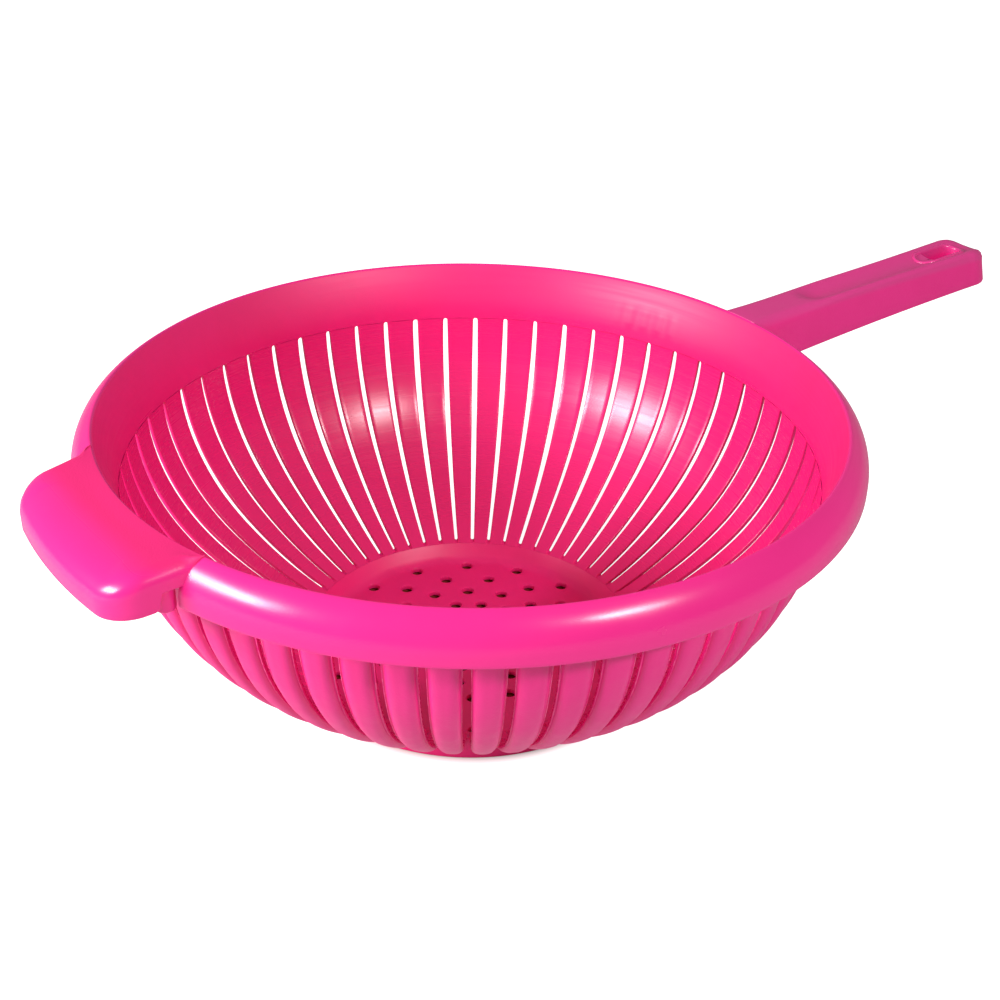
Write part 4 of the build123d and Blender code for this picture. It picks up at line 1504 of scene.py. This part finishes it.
@shared
def stave_plastic(look, paint):
    """Satin plastic of the staves' outer side, with pale flash lines beside the slits."""
    spot = paint.spot()
    flash = paint.node("ShaderNodeAttribute", {"attribute_name": "flash"}, output="Fac")
    ragged = paint.spread(paint.noise(spot, scale=420.0, detail=3.0, roughness=0.6), 0.42, 0.6)
    pale = paint.spread(flash, 0.55, 1.0) * ragged
    haze = paint.spread(paint.noise(spot, scale=130.0, detail=4.0, roughness=0.6), 0.3, 0.75)
    soft = paint.bump(paint.noise(spot, scale=210.0), distance=0.0005, strength=0.08)
    grain = paint.noise(spot, scale=1100.0, detail=3.0, roughness=0.6)
    return paint.plastic(
        paint.mix(pale, flow_colour(paint, spot, look.outer, look.outer_deep), tuple(look.pale)),
        look.outside_roughness - 0.05 + 0.12 * haze,
        paint.bump(grain, distance=0.0003, strength=0.18, under=soft),
    )


@shared
def handle_plastic(look, paint, duller=0.0):
    """Fine-grained satin plastic with a soft haze, and a painted paler sheen on top."""
    spot = paint.spot()
    _, _, up = paint.parts(spot)
    top = paint.spread(up, *HANDLE_SHEEN_HEIGHTS)
    haze = paint.spread(paint.noise(spot, scale=75.0, detail=4.0, roughness=0.6), 0.35, 0.75)
    soft = paint.bump(paint.noise(spot, scale=240.0), distance=0.0004, strength=0.06)
    grain = paint.noise(spot, scale=1700.0, detail=3.0, roughness=0.65)
    return paint.plastic(
        # Painted sheen: the top is mixed toward the paler pink, for light on its matte texture
        paint.mix(0.8 * top, flow_colour(paint, spot, look.outer, look.outer_deep), tuple(look.wear_and_sheen)),
        look.handle_roughness + duller - 0.04 + 0.1 * haze,
        paint.bump(grain, distance=0.0003, strength=0.3, under=soft),
    )


# Studio


def direction(heading, rise):
    """Unit vector at a heading from +X towards +Y and an angle above the level."""
    level = math.cos(rise)
    return np.array([math.cos(heading) * level, math.sin(heading) * level, math.sin(rise)])


def stand(name, data, place, right, up, back):
    """Puts a lamp or camera in the scene at a place, with its own axes along three directions."""
    thing = bpy.data.objects.new(name, data)
    bpy.context.scene.collection.objects.link(thing)
    matrix = np.eye(4)
    matrix[:3] = np.stack([right, up, back, place], axis=-1)
    thing.matrix_world = Matrix(matrix.tolist())
    return thing


class COLANDER_OT_studio(bpy.types.Operator):
    """Set up the pale floor, the soft lamps and the camera"""

    bl_idname = "colander.studio"
    bl_label = "Studio"

    # Half the floor's side, and where its painted shade under the foot has ended, as a share of its radius
    half_floor = 4.0
    shade_end = 1.15

    # Distance of the lamps from the height that they look at
    lamp_distance = 0.9
    lit_height = 0.08

    def execute(self, context):
        studio = context.scene.colander_studio
        self.floor(studio)
        self.sky(context, studio)
        self.lamp("right_lamp", heading=-83.0, rise=36.0, size=(0.22, 0.07), power=studio.right_power)
        self.lamp("left_lamp", heading=169.0, rise=21.0, size=(0.44, 0.2), power=studio.left_power)
        self.camera(context, studio)
        context.scene.view_settings.view_transform = "Standard"
        return {"FINISHED"}

    def floor(self, studio):
        """A wide level square that shows white to the camera, with painted dark red shade on it under the
        foot.
        """
        paint = Paint(bpy.data.materials.new("floor_paint"))
        across, along, _ = paint.parts(paint.spot())
        radius = paint.from_axis(across, along)
        clear = paint.spread(radius, studio.shade_radius, self.shade_end * studio.shade_radius)
        inputs = {
            # Painted shade: under the foot the floor takes the dark red shade colour instead of its own
            "Base Color": paint.mix(clear, tuple(studio.shade), tuple(studio.floor)),
            "Roughness": 0.9,
            "Specular IOR Level": 0.0,
            "Emission Color": paint.mix(paint.seen() * clear, BLACK, WHITE),
            "Emission Strength": studio.glow,
        }
        side = self.half_floor
        corners = [(-side, -side, 0.0), (side, -side, 0.0), (side, side, 0.0), (-side, side, 0.0)]
        mesh = bpy.data.meshes.new("studio_floor")
        mesh.from_pydata(corners, [], [(0, 1, 2, 3)])
        mesh.materials.append(paint.end(paint.node("ShaderNodeBsdfPrincipled", inputs=inputs)))
        floor = bpy.data.objects.new("studio_floor", mesh)
        bpy.context.scene.collection.objects.link(floor)

    def sky(self, context, studio):
        """Even light from all round, shown white to the camera."""
        paint = Paint(bpy.data.worlds.new("studio_sky"))
        strength = paint.node("ShaderNodeMapRange", inputs={0: paint.seen(), 3: studio.sky, 4: 1.0})
        light = paint.node("ShaderNodeBackground", inputs={"Color": WHITE, "Strength": strength})
        context.scene.world = paint.end(light, "ShaderNodeOutputWorld")

    def lamp(self, name, heading, rise, size, power):
        """A soft lamp that faces the bowl from a heading and a height angle, both in degrees."""
        light = bpy.data.lights.new(name, "AREA")
        light.shape = "RECTANGLE"
        light.size, light.size_y = size
        light.energy = power
        away = direction(math.radians(heading), math.radians(rise))
        level = direction(math.radians(heading + 90.0), 0.0)
        place = np.array([0.0, 0.0, self.lit_height]) + self.lamp_distance * away
        stand(name, light, place, level, np.cross(away, level), away)

    def camera(self, context, studio):
        """The camera at its place, looking along its heading and pitch, turned by its roll."""
        data = bpy.data.cameras.new("studio_camera")
        data.lens = studio.focal_length
        data.sensor_width = 36.0
        data.clip_start = 0.01
        data.clip_end = 50.0
        ahead = direction(studio.heading, -studio.pitch)
        right = direction(studio.heading - 0.5 * math.pi, 0.0)
        up = np.cross(right, ahead)
        cosine, sine = math.cos(studio.roll), math.sin(studio.roll)
        turned_right = right * cosine + up * sine
        turned_up = up * cosine - right * sine
        place = np.array(studio.camera_place)
        context.scene.camera = stand("studio_camera", data, place, turned_right, turned_up, -ahead)


# Sidebar and registering


class COLANDER_PT_sidebar(bpy.types.Panel):
    """Builders and settings of the colander"""

    bl_label = "Slotted colander"
    bl_idname = "COLANDER_PT_sidebar"
    bl_space_type = "VIEW_3D"
    bl_region_type = "UI"
    bl_category = "Colander"

    def draw(self, context):
        for name in BUILDERS:
            self.layout.operator("colander." + name)
        for name in GROUPS:
            settings = getattr(context.scene, "colander_" + name)
            box = self.layout.box()
            box.label(text=name.capitalize())
            for field in settings.bl_rna.properties:
                if field.identifier not in ("rna_type", "name"):
                    box.prop(settings, field.identifier)


BUILDERS = ("staves", "base", "collar", "rim", "grip", "handle", "ribs", "studio")
GROUPS = {
    "bowl": BowlSizes,
    "base": BaseSizes,
    "rim": RimSizes,
    "grip": GripSizes,
    "handle": HandleSizes,
    "look": PlasticLook,
    "studio": StudioSettings,
}
CLASSES = (
    *GROUPS.values(),
    COLANDER_OT_staves,
    COLANDER_OT_base,
    COLANDER_OT_collar,
    COLANDER_OT_rim,
    COLANDER_OT_grip,
    COLANDER_OT_handle,
    COLANDER_OT_ribs,
    COLANDER_OT_studio,
    COLANDER_PT_sidebar,
)


def register():
    for kind in CLASSES:
        bpy.utils.register_class(kind)
    for name, kind in GROUPS.items():
        setattr(bpy.types.Scene, "colander_" + name, bpy.props.PointerProperty(type=kind))


def unregister():
    for name in GROUPS:
        delattr(bpy.types.Scene, "colander_" + name)
    for kind in reversed(CLASSES):
        bpy.utils.unregister_class(kind)


def main():
    """Builds every piece and the studio."""
    register()
    for name in BUILDERS:
        getattr(bpy.ops.colander, name)()


if __name__ == "__main__":
    main()
